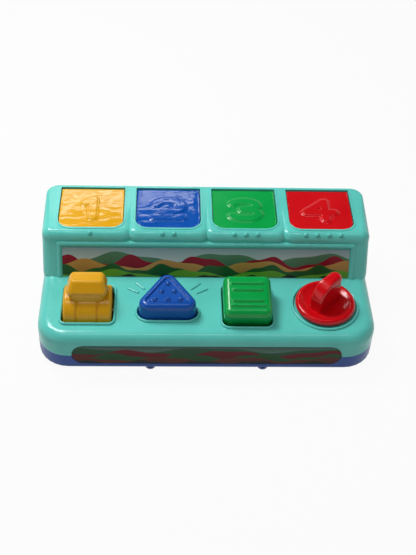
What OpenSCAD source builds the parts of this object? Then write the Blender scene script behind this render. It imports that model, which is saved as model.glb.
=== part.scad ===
// Pop up animal toy: a two-tier case with four numbered flap lids on its upper tier.
// A pull lever, a push button, a click rocker and a twist knob each slide a latch,
// which frees one lid and the animal that is fixed under it.
// +X is to the right of a child at the controls, +Y is to the back, +Z is up.
// The origin is in the middle of the case, on the table.

/* [Case] */
// Width of the case
body_w = 306; // [290:1:340]
// Depth of the front deck, from the front wall to the foot of the riser
deck_d = 77.8; // [76:0.2:96]
// From the foot of the riser back to the lids' front edges
lid_setback = 24.4; // [23:0.2:30]
// From the lids' rear edges to the rear wall
rear_margin = 6.2; // [6:0.1:12]
// Height of the front deck over the table
deck_z = 43; // [42:0.5:46]
// Height of the upper tier over the table
tier_z = 83.5; // [82:0.5:92]
// Height of the joint between the tray and the shell
seam_z = 20; // [17:0.5:22]
// Wall of the shell and of the tray
wall = 2.5; // [2:0.1:3]
// Plan radius of the two front corners
corner_r = 28; // [18:1:34]
// Plan radius of the two rear corners
rear_corner_r = 12; // [11:1:18]
// Rounding of the deck's top edge
deck_edge_r = 10; // [6:0.5:12]
// Rounding of the tray's bottom edge
tray_edge_r = 3.5; // [3:0.5:6]
// Height of the tray's underside over the table
foot_h = 3.5; // [2:0.5:5]
// Width of a foot
foot_d = 9.7; // [8:0.1:14]
// Distance of each foot from the middle of the case
foot_x = 51.3; // [40:0.5:70]

/* [Upper tier] */
// Lean of the riser panel from upright, in degrees
lean = 25.4; // [20:0.2:27]
// Rounding of each station's top edges
lobe_edge_r = 8; // [6:0.5:8]
// Plan radius of each station's corners
lobe_corner_r = 11; // [9:0.5:12]
// Plan radius of the two outer corners of the end stations
end_corner_r = 9; // [8.5:0.5:12]
// How far neighbouring stations run into each other, each way
lobe_overlap = 3.8; // [3:0.1:4.4]
// From the stations' front faces back to the lids' front edges
fascia_d = 9.8; // [9:0.2:10.6]
// Height of the shelf under the stations over the deck
ledge_h = 31.2; // [30:0.2:32]
// Diameter of the counting dots
dot_d = 4.6; // [3:0.1:5.4]
// Spacing of the counting dots
dot_pitch = 10.9; // [8:0.1:13]

/* [Lids] */
// Space between neighbouring lids
lid_space = 12; // [11.5:0.5:15]
// From the end lids out to the sides of the case
side_margin = 15; // [14:0.5:20]
// Length of a lid, front to back
lid_len = 55.5; // [53:0.5:64]
// Thickness of a lid
lid_t = 2.5; // [2:0.1:3]
// Gap around a lid
lid_gap = 0.6; // [0.4:0.1:0.8]
// Plan radius of a lid's front corners
lid_corner_r = 11; // [6:0.5:14]
// Height of the raised numbers
digit_h = 1.2; // [0.6:0.1:2]
// Stroke of the raised numbers
digit_stroke = 9; // [6:0.5:10]
// Diameter of the hinge pins
pin_d = 2.5; // [2:0.1:2.6]
// How far below the lid's top the hinge pin lies
hinge_drop = 5; // [4.8:0.1:5.4]
// How far the hinge pin lies in front of the lid's rear edge
hinge_inset = 3.6; // [3:0.1:4]

/* [Controls] */
// From the front wall back to the middle of the controls
well_setback = 41.1; // [39:0.1:42]
// Width of the raised bead around a control
bead_w = 2.4; // [1.6:0.1:2.6]
// Height of the raised bead over the deck
bead_h = 1.5; // [0.6:0.1:2]
// Depth of a control's collar under the deck
collar_h = 5; // [3:0.5:5]
// Gap between a control and its opening
well_gap = 0.6; // [0.4:0.1:0.8]
// Radius of the lever's drum
drum_r = 21; // [19:0.5:21.5]
// Width of the lever's drum
drum_w = 43.4; // [40:0.2:44]
// Width of the lever's opening
lever_well_w = 45; // [44.6:0.2:48]
// Length of the lever's opening
lever_well_l = 44.6; // [43:0.2:46]
// Height of the lever's axle over the table
lever_axis_z = 36; // [35:0.2:36.4]
// Length of the arm under the lever's axle
lever_arm = 8.8; // [8:0.1:9]
// Width of the lever's grip at its top
grip_w = 33; // [28:0.5:36]
// Height of the lever's grip over the table
grip_z = 73.5; // [68:0.5:76]
// Plan radius of the button's corners
button_corner_r = 10; // [8:0.5:11]
// Half spread of the button's two front corners
button_spread = 16.7; // [15:0.1:18]
// From the button's front corners back to its rear corner
button_rise = 26; // [22:0.1:28]
// Height of the button over the deck
button_h = 16.5; // [12:0.5:18]
// Travel of the button
button_travel = 4.5; // [4:0.1:5]
// Width of the rocker
rocker_w = 43.6; // [40:0.2:44]
// Length of the rocker
rocker_l = 45; // [41:0.2:47]
// How much longer the rocker's opening is than the rocker
rocker_room = 5.6; // [5.4:0.2:7]
// Height of the rocker over its axle
rocker_h = 26.6; // [20:0.2:28]
// Tilt of the rocker at rest, in degrees
rocker_tilt = 9; // [6:0.5:9]
// Height of the rocker's axle over the table
rocker_axis_z = 36; // [35.6:0.1:36.4]
// Radius of the knob's dish
knob_r = 27.5; // [24:0.5:29]
// Height of the knob's grip over the deck
knob_h = 32.5; // [20:0.5:36]
// Thickness of the knob's grip
fin_t = 13; // [8:0.5:14]
// Length of the knob's grip
fin_l = 31; // [26:0.5:38]
// Turn of the knob's grip from straight back, in degrees
fin_turn = 46; // [0:1:60]
// Place of the fin beside the knob's middle
fin_side = 0.8; // [0:0.1:2]
// Diameter of the lever's and the rocker's axles
axle_d = 3; // [2.5:0.1:3.2]

/* [Mechanism] */
// Width of a latch bar
bar_w = 10; // [8:0.5:12]
// Thickness of a latch bar
bar_t = 3; // [2.5:0.1:3.2]
// Height of a latch bar's underside over the table
bar_z = 24; // [23.6:0.1:24.2]
// Thickness of a latch's post
post_t = 2.2; // [2:0.1:2.6]
// How far a latch's nose reaches over its lid's hook
hook_bite = 1.3; // [1:0.1:1.5]
// Gap at rest between pieces that push each other
push_gap = 0.3; // [0.2:0.05:0.35]
// Radial clearance of a turning shaft
run_gap = 0.05; // [0.02:0.01:0.08]
// Depth of a compartment under its lid
pocket_h = 30.5; // [28:0.5:32]
// Wall of a compartment
pocket_wall = 1.6; // [1.2:0.1:2]
// Wire diameter of the springs
wire_d = 0.8; // [0.6:0.05:0.9]
// Thickness of the printed panels
panel_t = 0.5; // [0.3:0.1:0.8]

/* [Hidden] */

$fn = 48;
eps = 0.01;
seat = 0.3;
TEAL = "mediumturquoise";
BLUE = "royalblue";
GREEN = "forestgreen";
RED = "red";
YELLOW = "gold";
STEEL = "silver";

// Places, worked out from the sizes above
pitch = (body_w + lid_space - 2 * side_margin) / 4;
lid_w = pitch - lid_space;
body_d = deck_d + lid_setback + lid_len + rear_margin;
front_y = -body_d / 2;
rear_y = body_d / 2;
riser_y = front_y + deck_d;
lid_front_y = riser_y + lid_setback;
lid_rear_y = lid_front_y + lid_len;
lobe_y = lid_front_y - fascia_d;
ledge_z = deck_z + ledge_h;
well_y = front_y + well_setback;
hinge_y = lid_rear_y - hinge_inset;
lid_z = tier_z - 0.5;
hinge_z = lid_z - hinge_drop;
swing_r = hinge_drop + 0.4;
rear_gap = swing_r - hinge_inset + 0.1;
lid_under_z = lid_z - lid_t;
ceiling_z = tier_z - wall;
deck_under_z = deck_z - wall;
floor_z = foot_h + wall;
end_half = body_w / 2 - 0.2;
function station_x(i) = (i - 2.5) * pitch;
function riser_y_at(z) = riser_y + (z - deck_z) * tan(lean);

// ---------- shared shapes ----------

// Upright corner post with a rounded top edge
module pillar(corner, edge, z0, z1) {
  translate([0, 0, z0]) cylinder(r = corner, h = z1 - z0 - edge);
  translate([0, 0, z1 - edge]) rotate_extrude() intersection() {
    translate([corner - edge, 0]) circle(edge);
    translate([0, -edge]) square([corner, 2 * edge]);
  }
}

// Rounded rectangle about the origin, with one radius in front and one behind
module plate_outline(w, d, front_r, back_r) {
  for (s = [-1, 1]) {
    translate([s * (w / 2 - front_r), front_r - d / 2]) circle(front_r);
    translate([s * (w / 2 - back_r), d / 2 - back_r]) circle(back_r);
  }
  polygon([
    [-w / 2, front_r - d / 2], [front_r - w / 2, -d / 2],
    [w / 2 - front_r, -d / 2], [w / 2, front_r - d / 2],
    [w / 2, d / 2 - back_r], [w / 2 - back_r, d / 2],
    [back_r - w / 2, d / 2], [-w / 2, d / 2 - back_r]
  ]);
}

// Plan outline of the case, drawn in by d
module case_outline(d) {
  plate_outline(body_w - 2 * d, body_d - 2 * d, corner_r - d, rear_corner_r - d);
}

// Round bar between two points
module rod(a, b, r) {
  d = b - a;
  translate(a) rotate([0, acos(d[2] / norm(d)), atan2(d[1], d[0])])
    rotate_extrude() intersection() {
      union() {
        circle(r);
        translate([0, norm(d)]) circle(r);
        square([r, norm(d)]);
      }
      translate([0, -r]) square([r, norm(d) + 2 * r]);
    }
}

// Cylinder along X between two places
module x_cylinder(x0, x1, r) {
  translate([x0, 0, 0]) rotate([0, 90, 0]) cylinder(r = r, h = x1 - x0);
}

// Box from two corners
module block(a, b) {
  translate(a) cube(b - a);
}

// Spring wire along +Z from the origin: turns curls of mean radius r over a length
module coil(r, length, turns) {
  steps = 8;
  sides = 6;
  last = steps * turns;
  wr = wire_d / 2;
  rise = length - wire_d;
  function ring_point(k, s) =
    let (a = 360 * k / steps, b = 360 * s / sides, q = r + wr * cos(b))
    [q * cos(a), q * sin(a), wr + rise * k / last + wr * sin(b)];
  points = [for (k = [0:last]) for (s = [0:sides - 1]) ring_point(k, s)];
  sleeve = [
    for (k = [0:last - 1]) for (s = [0:sides - 1])
      for (t = [0, 1])
        let (
          a = k * sides + s, b = k * sides + (s + 1) % sides,
          c = b + sides, d = a + sides
        )
        t == 0 ? [a, b, c] : [a, c, d]
  ];
  caps = [
    [for (s = [sides - 1:-1:0]) s],
    [for (s = [0:sides - 1]) last * sides + s]
  ];
  echo(str("least gap between curls, mm: ", rise / turns - wire_d));
  polyhedron(points = points, faces = concat(caps, sleeve), convexity = 10);
}

// ---------- case ----------

screw_places = [
  [body_w / 2 - 14, front_y + 20], [-body_w / 2 + 14, front_y + 20],
  [body_w / 2 - 9, rear_y - 20], [-body_w / 2 + 9, rear_y - 20],
  [0, front_y + 14], [0, lid_front_y + 6.5]
];
screw_r = 1.5;
screw_head_r = 3;
screw_head_h = 2;
screw_len = 14;
boss_r = 3.6;
tray_screw_x = [-2 * pitch + 1, -pitch, 0, pitch, 2 * pitch - 1];
tray_screw_y = hinge_y - 22.4;
tray_screw_r = 1.2;
tray_boss_r = 3.4;
flange_z = tier_z - 13.2;
flange_t = 2;

// Lower case body, drawn in by d
module lower_body(d) {
  low = seam_z - 2 - 2 * d;
  hull() {
    for (s = [-1, 1]) {
      translate([s * (body_w / 2 - corner_r), front_y + corner_r, 0])
        pillar(corner_r - d, deck_edge_r - d, low, deck_z - d);
      translate([s * (body_w / 2 - rear_corner_r), rear_y - rear_corner_r, 0])
        pillar(rear_corner_r - d, deck_edge_r - d, low, deck_z - d);
    }
  }
}

// Riser body with its leaning front, drawn in by d
module riser_body(d) {
  top = ledge_z - d;
  low = seam_z - 1 - 2 * d;
  in_y = 10 + d * (1 / cos(lean) - 1);
  hull() {
    for (s = [-1, 1]) {
      translate([s * (end_half - 10), riser_y + in_y, low]) cylinder(r = 10 - d, h = deck_z - low);
      translate([s * (end_half - 10), riser_y_at(top) + in_y, 0]) pillar(10 - d, 1, top - 4, top);
      translate([s * (end_half - rear_corner_r), rear_y - rear_corner_r, 0])
        pillar(rear_corner_r - d, 1, low, top);
    }
  }
}

// Station block i, drawn in by d
module station_block(i, d) {
  left = i == 1 ? -end_half : station_x(i) - pitch / 2 - lobe_overlap;
  right = i == 4 ? end_half : station_x(i) + pitch / 2 + lobe_overlap;
  left_r = i == 1 ? rear_corner_r : wall + 1.5;
  right_r = i == 4 ? rear_corner_r : wall + 1.5;
  left_front = i == 1 ? end_corner_r : lobe_corner_r;
  right_front = i == 4 ? end_corner_r : lobe_corner_r;
  low = ledge_z - 5 - d;
  hull() {
    translate([left + left_front, lobe_y + left_front, 0])
      pillar(left_front - d, lobe_edge_r - d, low, tier_z - d);
    translate([right - right_front, lobe_y + right_front, 0])
      pillar(right_front - d, lobe_edge_r - d, low, tier_z - d);
    translate([left + left_r, rear_y - left_r, 0])
      pillar(left_r - d, 2.5 - d / 2, low, tier_z - d);
    translate([right - right_r, rear_y - right_r, 0])
      pillar(right_r - d, 2.5 - d / 2, low, tier_z - d);
  }
}

module case_body(d) {
  $fn = d > 0 ? 12 : 28;
  lower_body(d);
  riser_body(d);
  for (i = [1:4]) station_block(i, d);
}

// Outline of a lid, grown by g, and by back at its rear edge
module lid_outline(g, back) {
  w = lid_w / 2 + g;
  l = lid_len + back;
  r = lid_corner_r + g;
  for (s = [-1, 1]) translate([s * (w - r), r - g]) circle(r);
  polygon([
    [-w, r - g], [r - w, -g], [w - r, -g], [w, r - g], [w, l], [-w, l]
  ]);
}

// Outlines of the four control openings, grown by g
module lever_outline(g) {
  plate_outline(lever_well_w + 2 * g, lever_well_l + 2 * g, 4 + g, 4 + g);
}

module button_outline(g) {
  r = button_corner_r + g;
  slope = atan2(button_rise, button_spread);
  side = r * [sin(slope), cos(slope)];
  for (s = [-1, 1]) translate([s * button_spread, 0]) circle(r);
  translate([0, button_rise]) circle(r);
  polygon([
    [-button_spread, -r], [button_spread, -r],
    [button_spread + side[0], side[1]], [side[0], button_rise + side[1]],
    [-side[0], button_rise + side[1]], [-button_spread - side[0], side[1]]
  ]);
}

module rocker_outline(g) {
  translate([0, rocker_shift - 1.1])
    plate_outline(rocker_w + 2 * g, rocker_l + rocker_room + 2 * g, 6 + g, 6 + g);
}

rocker_y = well_y - 1.9;
rocker_shift = 2.4;
button_y = well_y - 8.8;
knob_y = well_y + 0.8;
knob_well_r = knob_r + 1.3;

// Beads and collars of the control openings
module control_collars() {
  translate([0, 0, deck_z - collar_h]) linear_extrude(collar_h + bead_h) {
    translate([station_x(1), well_y]) lever_outline(well_gap + bead_w);
    translate([station_x(2), button_y]) button_outline(well_gap + bead_w);
    translate([station_x(3), rocker_y]) rocker_outline(well_gap + bead_w);
  }
  translate([station_x(4), knob_y, deck_z - wall])
    cylinder(r = knob_well_r + bead_w, h = wall + bead_h, $fn = 72);
}

module control_openings() {
  translate([0, 0, deck_z - collar_h - 1]) linear_extrude(collar_h + bead_h + 2) {
    translate([station_x(1), well_y]) lever_outline(well_gap);
    translate([station_x(2), button_y]) button_outline(well_gap);
    translate([station_x(3), rocker_y]) rocker_outline(well_gap);
  }
  translate([station_x(4), knob_y, deck_z]) cylinder(r = knob_well_r, h = bead_h + 1, $fn = 72);
  translate([station_x(4), knob_y, deck_under_z - 1])
    cylinder(r = shaft_r + 0.4, h = wall + 2);
}

// Raised sun-ray ribs beside the button
module button_rays() {
  rays = [[16.6, 29.9, 43], [22.7, 24, 30]];
  for (s = [-1, 1]) for (ray = rays)
    translate([station_x(2) + s * (ray[0] + 9), button_y + ray[1] + 3.4, deck_z - 0.1])
      rotate([0, 0, s * ray[2]])
        rod([-s * 5, 0, 0], [s * 5, 0, 0], 1.4);
}

// Counting dots on a station's rounded front
module counting_dots(i) {
  for (k = [0:i - 1])
    translate([
      station_x(i) + (k - (i - 1) / 2) * dot_pitch,
      lobe_y + lobe_edge_r * (1 - cos(52)),
      tier_z - lobe_edge_r * (1 - sin(52))
    ]) sphere(dot_d / 2, $fn = 12);
}

// Rounded frame that stands out around the riser panel
frame_r = 2.6;
frame_x = body_w / 2 - 16.5;
module riser_frame() {
  top = ledge_z - frame_r;
  sink = frame_r - 1.5;
  yt = riser_y_at(top) + sink;
  for (s = [-1, 1])
    rod([s * frame_x, riser_y + sink, deck_z], [s * frame_x, yt, top], frame_r);
  rod([-frame_x - 0.3, yt, top - 0.1], [frame_x + 0.3, yt, top - 0.1], frame_r + 0.1);
}

// Pill-shaped pad for the front panel, which runs down over the tray's front
pad_half = body_w / 2 - corner_r - 3.6;
pad_z = [foot_h + 6.6, foot_h + 29.4];
pad_r = (pad_z[1] - pad_z[0]) / 2;
module pill(y0, y1, g) {
  zc = (pad_z[0] + pad_z[1]) / 2;
  translate([0, y1, zc]) rotate([90, 0, 0]) linear_extrude(y1 - y0) {
    for (s = [-1, 1]) translate([s * (pad_half - pad_r), 0]) circle(pad_r + g);
    square([2 * (pad_half - pad_r), 2 * (pad_r + g)], center = true);
  }
}

// Lip inside the joint, which centres the tray
module seam_lip() {
  $fn = 28;
  translate([0, 0, seam_z - 3]) linear_extrude(6) difference() {
    case_outline(wall + 0.3);
    case_outline(wall + 1.8);
  }
  translate([0, 0, seam_z + 0.5]) linear_extrude(2) difference() {
    case_outline(wall - 0.5);
    case_outline(wall + 1);
  }
}

module shell_bosses() {
  $fn = 18;
  for (k = [0:5]) {
    top = screw_places[k][1] > riser_y ? ceiling_z : deck_under_z;
    translate([screw_places[k][0], screw_places[k][1], seam_z])
      cylinder(r = boss_r, h = top - seam_z + 0.7);
  }
  for (x = tray_screw_x)
    translate([x, tray_screw_y, flange_z + flange_t + seat])
      cylinder(r = tray_boss_r, h = ceiling_z - flange_z - flange_t - seat + 0.7);
}

module boss_holes() {
  $fn = 14;
  for (p = screw_places)
    translate([p[0], p[1], seam_z - 1]) cylinder(r = screw_r + 0.06, h = screw_len + 1);
  for (x = tray_screw_x)
    translate([x, tray_screw_y, flange_z]) cylinder(r = tray_screw_r + 0.06, h = 9);
}

module top_shell() {
  $fn = 24;
  color(TEAL) difference() {
    union() {
      difference() {
        union() {
          case_body(0);
          for (i = [1:4]) {
            counting_dots(i);
            translate([station_x(i), lid_front_y, tier_z - 2])
              linear_extrude(2.5) lid_outline(lid_gap + 1.8, rear_gap);
          }
        }
        case_body(wall);
        translate([-body_w, -body_d, seam_z - 50]) cube([2 * body_w, 2 * body_d, 50]);
      }
      intersection() {
        control_collars();
        translate([-body_w / 2 + wall, front_y + wall, 0])
          cube([body_w - 2 * wall, body_d - 2 * wall, tier_z]);
      }
      button_rays();
      riser_frame();
      pill(front_y, front_y + wall, 0);
      seam_lip();
      shell_bosses();
    }
    control_openings();
    for (i = [1:4]) {
      translate([station_x(i), lid_front_y, ceiling_z - 4])
        linear_extrude(wall + 9) lid_outline(lid_gap, rear_gap);
      // room for the lid's rear edge as it swings
      translate([station_x(i), hinge_y, hinge_z])
        x_cylinder(0.1 - lid_w / 2 - lid_gap, lid_w / 2 + lid_gap - 0.1, swing_r);
    }
    pill(front_y - 1, front_y + panel_t, 0.2);
    boss_holes();
  }
}

// Tray that closes the case from below
post_y = lid_front_y + 6.75;
stop_y = post_y + post_t + 12.6;
saddle_ys = [riser_y + 2, lid_front_y - 3];

module tray_shell(d) {
  $fn = 28;
  hull() {
    for (s = [-1, 1]) {
      translate([s * (body_w / 2 - corner_r), front_y + corner_r, 0])
        mirror([0, 0, 1]) pillar(corner_r - d, tray_edge_r - d / 2, -seam_z - d, -foot_h - d);
      translate([s * (body_w / 2 - rear_corner_r), rear_y - rear_corner_r, 0])
        mirror([0, 0, 1]) pillar(rear_corner_r - d, tray_edge_r - d / 2, -seam_z - d, -foot_h - d);
    }
  }
}

// Two posts with a bore each, which carry an axle
module axle_posts(x, y, z, half) {
  for (s = [-1, 1]) translate([x + s * half, y, 0])
    block([-1.5, -5, floor_z - 0.5], [1.5, 5, z + 4]);
}

module base_tray() {
  color(BLUE) difference() {
    union() {
      difference() {
        tray_shell(0);
        tray_shell(wall);
      }
      for (p = screw_places)
        translate([p[0], p[1], foot_h + 0.5]) cylinder(r = boss_r + 0.6, h = seam_z - foot_h - 0.8);
      for (i = [1:4]) {
        for (y = saddle_ys)
          block([station_x(i) - bar_w / 2 - 3, y - 1.25, floor_z - 0.5],
                [station_x(i) + bar_w / 2 + 3, y + 1.25, bar_z + bar_t]);
        block([station_x(i) - 6, stop_y, floor_z - 0.5], [station_x(i) + 6, stop_y + 2, bar_z + 6]);
      }
      axle_posts(station_x(1), well_y, lever_axis_z, lever_post_x);
      axle_posts(station_x(3), rocker_y, rocker_axis_z, rocker_post_x);
      translate([station_x(2), button_spring_y, floor_z - 0.5]) cylinder(r = 2.2, h = 12);
      translate([station_x(3) + rocker_spring_x, rocker_spring_y + 0.5, floor_z - 0.5])
        cylinder(r = 2.2, h = 10);
      translate([station_x(4), knob_y, floor_z - 0.5]) cylinder(r = 8, h = 12);
    }
    for (i = [1:4], y = saddle_ys)
      block([station_x(i) - bar_w / 2 - seat, y - 2, bar_z - seat],
            [station_x(i) + bar_w / 2 + seat, y + 2, bar_z + bar_t + 1]);
    translate([station_x(1), well_y, lever_axis_z])
      x_cylinder(-lever_post_x - 5, lever_post_x + 5, axle_d / 2 + run_gap);
    translate([station_x(3), rocker_y, rocker_axis_z])
      x_cylinder(-rocker_post_x - 5, rocker_post_x + 5, axle_d / 2 + run_gap);
    translate([station_x(4), knob_y, floor_z]) cylinder(r = journal_r + run_gap, h = 20);
    for (p = screw_places) {
      translate([p[0], p[1], foot_h - 1]) cylinder(r = screw_r + 0.3, h = seam_z);
      translate([p[0], p[1], foot_h - 1]) cylinder(r = screw_head_r + 0.5, h = screw_sink + 1);
    }
    pill(front_y - 1, front_y + wall + 0.6, 0.3);
  }
}
screw_sink = seam_z - foot_h - 5.5;

// Printed strips, which are glued on
module riser_panel() {
  half = frame_x - frame_r - 0.1;
  up = (ledge_h - 2 * frame_r - 0.1) / cos(lean);
  color("seagreen")
    translate([0, riser_y, deck_z]) rotate([90 - lean, 0, 0])
      linear_extrude(panel_t) translate([-half, 0.6]) square([2 * half, up - 0.6]);
}

module front_panel() {
  color("darkred") pill(front_y, front_y + panel_t - 0.02, -0.2);
}

// Open box under each lid, with the ears of the lid's hinge and two screwed flanges
pocket_half = lid_w / 2 - 1;
pocket_front = post_y + post_t + button_travel + 0.6 + pocket_wall;
pocket_rear = hinge_y - 3.2;
pocket_z = lid_under_z - pocket_h + 2;
ear_half = lid_w / 2 + 0.4;
ear_t = 3;
pin_half = ear_half + ear_t - 0.6;

// Flange on side s of box i. An inner screw holds two boxes, so each stops short of its middle.
module pocket_flange(i, s) {
  k = s < 0 ? i - 1 : i;
  tip = tray_screw_x[k] + s * (k % 4 == 0 ? 4.6 : -0.15);
  root = station_x(i) + s * (pocket_half + pocket_wall - 0.4);
  block([min(tip, root), tray_screw_y - 5, flange_z],
        [max(tip, root), tray_screw_y + 5, flange_z + flange_t]);
}

module pocket(i) {
  x = station_x(i);
  w = pocket_wall;
  top = lid_under_z - 1.5;
  color("white") difference() {
    union() {
      block([x - pocket_half - w, pocket_front - w, pocket_z - w],
            [x + pocket_half + w, pocket_rear + w, top]);
      for (s = [-1, 1]) {
        block([x + s * (ear_half + ear_t / 2) - ear_t / 2, pocket_rear - 3, pocket_z - w],
              [x + s * (ear_half + ear_t / 2) + ear_t / 2, hinge_y + 4, hinge_z + 2.2]);
        pocket_flange(i, s);
      }
    }
    block([x - pocket_half, pocket_front, pocket_z], [x + pocket_half, pocket_rear, tier_z]);
    block([x - pocket_half - w - 0.2, pocket_rear - 1, hinge_z - 4.4],
          [x + pocket_half + w - 0.6, pocket_rear + w + 1, tier_z]);
    translate([x, hinge_y, hinge_z])
      x_cylinder(-pin_half - 0.2, pin_half + 0.2, pin_d / 2 + run_gap);
    for (k = [i - 1, i])
      translate([tray_screw_x[k], tray_screw_y, flange_z - 1])
        cylinder(r = tray_screw_r + 0.3, h = flange_t + 2);
  }
}

module feet() {
  color(BLUE) for (x = [-foot_x, foot_x], y = [front_y + foot_d / 2 + 1, rear_y - foot_d / 2 - 3])
    translate([x, y, 0]) intersection() {
      cylinder(r = foot_d / 2, h = foot_h);
      translate([0, 0, foot_d * 0.62]) sphere(foot_d * 0.72);
    }
}

// Pan-head screw with its head down, seated at the origin
module screw(r, head_r, head_h, length) {
  difference() {
    union() {
      translate([0, 0, -head_h]) cylinder(r = head_r, h = head_h);
      cylinder(r = r, h = length);
    }
    for (turn = [0, 90]) rotate([0, 0, turn])
      block([-head_r * 0.6, -0.4, -head_h - 1], [head_r * 0.6, 0.4, -head_h * 0.4]);
  }
}

module housing_screws() {
  color(STEEL) for (p = screw_places)
    translate([p[0], p[1], foot_h + screw_sink]) screw(screw_r - 0.02, screw_head_r, screw_head_h, screw_len);
}

module tray_screws() {
  color(STEEL) for (x = tray_screw_x)
    translate([x, tray_screw_y, flange_z]) screw(tray_screw_r - 0.02, 2.4, 1.6, 8);
}

module hinge_pins() {
  color(STEEL) for (i = [1:4])
    translate([station_x(i), hinge_y, hinge_z]) x_cylinder(-pin_half, pin_half, pin_d / 2);
}

// ---------- lids and animals ----------

barrel_r = 3;
barrel_half = lid_w / 2 - 0.4;
spring_half = 5;
tongue_y = lid_front_y + 1.75;
tongue_t = 2;
hook_top_z = lid_under_z - 7.3;
hook_bottom_z = lid_under_z - 10.3;
nose_y = tongue_y + tongue_t + 0.5;

// Strokes are a hair narrower than their round ends, so no face only touches another
stroke_ease = 0.06;

function oval_point(rx, ry, a) = [cos(a), sin(a)] / norm([cos(a) / rx, sin(a) / ry]);

module oval(rx, ry) {
  polygon([for (a = [0:10:350]) [rx * cos(a), ry * sin(a)]]);
}

// Curved stroke along an oval, from one direction round to another
module arc_stroke(rx, ry, from, to) {
  steps = 4;
  half = digit_stroke / 2 - stroke_ease;
  difference() {
    oval(rx + half, ry + half);
    oval(rx - half, ry - half);
    polygon(concat([[0, 0]], [for (k = [0:steps])
      let (a = to + (360 - to + from) * k / steps) 3 * (rx + half) * [cos(a), sin(a)]]));
  }
  for (a = [from, to]) translate(oval_point(rx, ry, a)) circle(digit_stroke / 2);
}

module stroke(a, b) {
  d = b - a;
  translate(a) rotate(atan2(d[1], d[0])) translate([0, stroke_ease - digit_stroke / 2])
    square([norm(d), digit_stroke - 2 * stroke_ease]);
}

module stroke_ends(points) {
  for (p = points) translate(p) circle(digit_stroke / 2);
}

module digit(n) {
  if (n == 1) {
    stroke([1, -12.5], [1, 12.5]);
    stroke([1, 12.5], [-6, 7.5]);
    stroke_ends([[1, -12.5], [1, 12.5], [-6, 7.5]]);
  }
  if (n == 2) {
    turn = oval_point(12.5, 8.5, -35) + [0, 4];
    translate([0, 4]) arc_stroke(12.5, 8.5, -35, 165);
    stroke(turn, [-12.5, -12]);
    stroke([-12.5, -12], [12.5, -12]);
    stroke_ends([[-12.5, -12], [12.5, -12]]);
  }
  if (n == 3) {
    translate([0, 6.2]) arc_stroke(12, 6.3, -100, 165);
    translate([0, -6.2]) arc_stroke(13, 6.4, -165, 98);
  }
  if (n == 4) {
    stroke([5, -12.5], [5, 12.5]);
    stroke([5, 12.5], [-13, -3]);
    stroke([-13, -3], [13, -3]);
    stroke_ends([[5, -12.5], [5, 12.5], [-13, -3], [13, -3]]);
  }
}

module lid(i, tint) {
  y_mid = lid_front_y + lid_len * 0.48;
  color(tint) translate([station_x(i), 0, 0]) difference() {
    union() {
      translate([0, lid_front_y, lid_under_z]) linear_extrude(lid_t) lid_outline(0, 0);
      translate([0, y_mid, lid_z - 0.5]) linear_extrude(digit_h + 0.5) digit(i);
      translate([0, hinge_y, hinge_z]) x_cylinder(-barrel_half, barrel_half, barrel_r);
      block([-barrel_half, hinge_y - barrel_r, hinge_z], [barrel_half, lid_rear_y, lid_under_z + 0.5]);
      block([-bar_w / 2, tongue_y, hook_bottom_z], [bar_w / 2, tongue_y + tongue_t, lid_under_z + 0.5]);
      block([-bar_w / 2, tongue_y, hook_bottom_z],
            [bar_w / 2, nose_y + hook_bite, hook_top_z]);
    }
    translate([0, hinge_y, hinge_z]) x_cylinder(-lid_w, lid_w, pin_d / 2 + run_gap);
    translate([0, hinge_y, hinge_z]) x_cylinder(-spring_half, spring_half, barrel_r - 0.1);
    block([-spring_half, hinge_y - 5, hinge_z - 5], [spring_half, hinge_y + 5, lid_under_z]);
    // rounded top edge over the hinge
    difference() {
      block([-lid_w, lid_rear_y - 2.4, lid_z - 2.4], [lid_w, lid_rear_y + 1, lid_z + 1]);
      translate([0, lid_rear_y - 2.4, lid_z - 2.4]) x_cylinder(-lid_w - 1, lid_w + 1, 2.4);
    }
  }
}

// An animal stands in its own frame: x across, y to its front, z up from the hinge.
// When the lid is shut it hangs face down with its head to the front.
figure_reach = hinge_y - pocket_front - 0.6;
figure_base = 5;
figure_back = lid_under_z - hinge_z;
head_z = figure_reach - 9;

module hang(i) {
  translate([station_x(i), hinge_y, hinge_z]) rotate([90, 0, 0]) children();
}

module ball(p, r) {
  translate(p) sphere(r, $fn = 14);
}

// Seated body with two forelegs, fixed to the lid by a pad behind it
module animal_body(chest_r) {
  hull() {
    ball([0, -10, figure_base + 10], chest_r);
    ball([0, -8, figure_base + 15], chest_r - 2);
  }
  for (s = [-1, 1]) hull() {
    ball([s * 8, -18, figure_base + 4], 3.8);
    ball([s * 6, -13, figure_base + 13], 3);
  }
  block([-9, -4, figure_base + 1], [9, figure_back - 0.02, figure_reach - 9]);
}

module cow_figure() {
  color("white") hang(1) {
    animal_body(11);
    ball([0, -8.5, head_z], 7.6);
    rod([-3, -14.5, head_z - 4], [3, -14.5, head_z - 4], 3.8);
    for (s = [-1, 1]) {
      hull() {
        ball([s * 6.5, -7, head_z + 3], 2);
        ball([s * 13, -7, head_z + 1.6], 2);
      }
      ball([s * 4.2, -5, head_z + 6.6], 1.8);
    }
  }
}

module pig_figure() {
  color("pink") hang(2) {
    animal_body(11.4);
    ball([0, -8.5, head_z - 0.4], 8);
    translate([0, -14, head_z - 2]) rotate([90, 0, 0]) cylinder(r = 3.6, h = 4.4);
    for (s = [-1, 1]) hull() {
      ball([s * 5, -8, head_z + 4.6], 2.2);
      ball([s * 9, -10, head_z + 5], 1.4);
    }
  }
}

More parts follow.
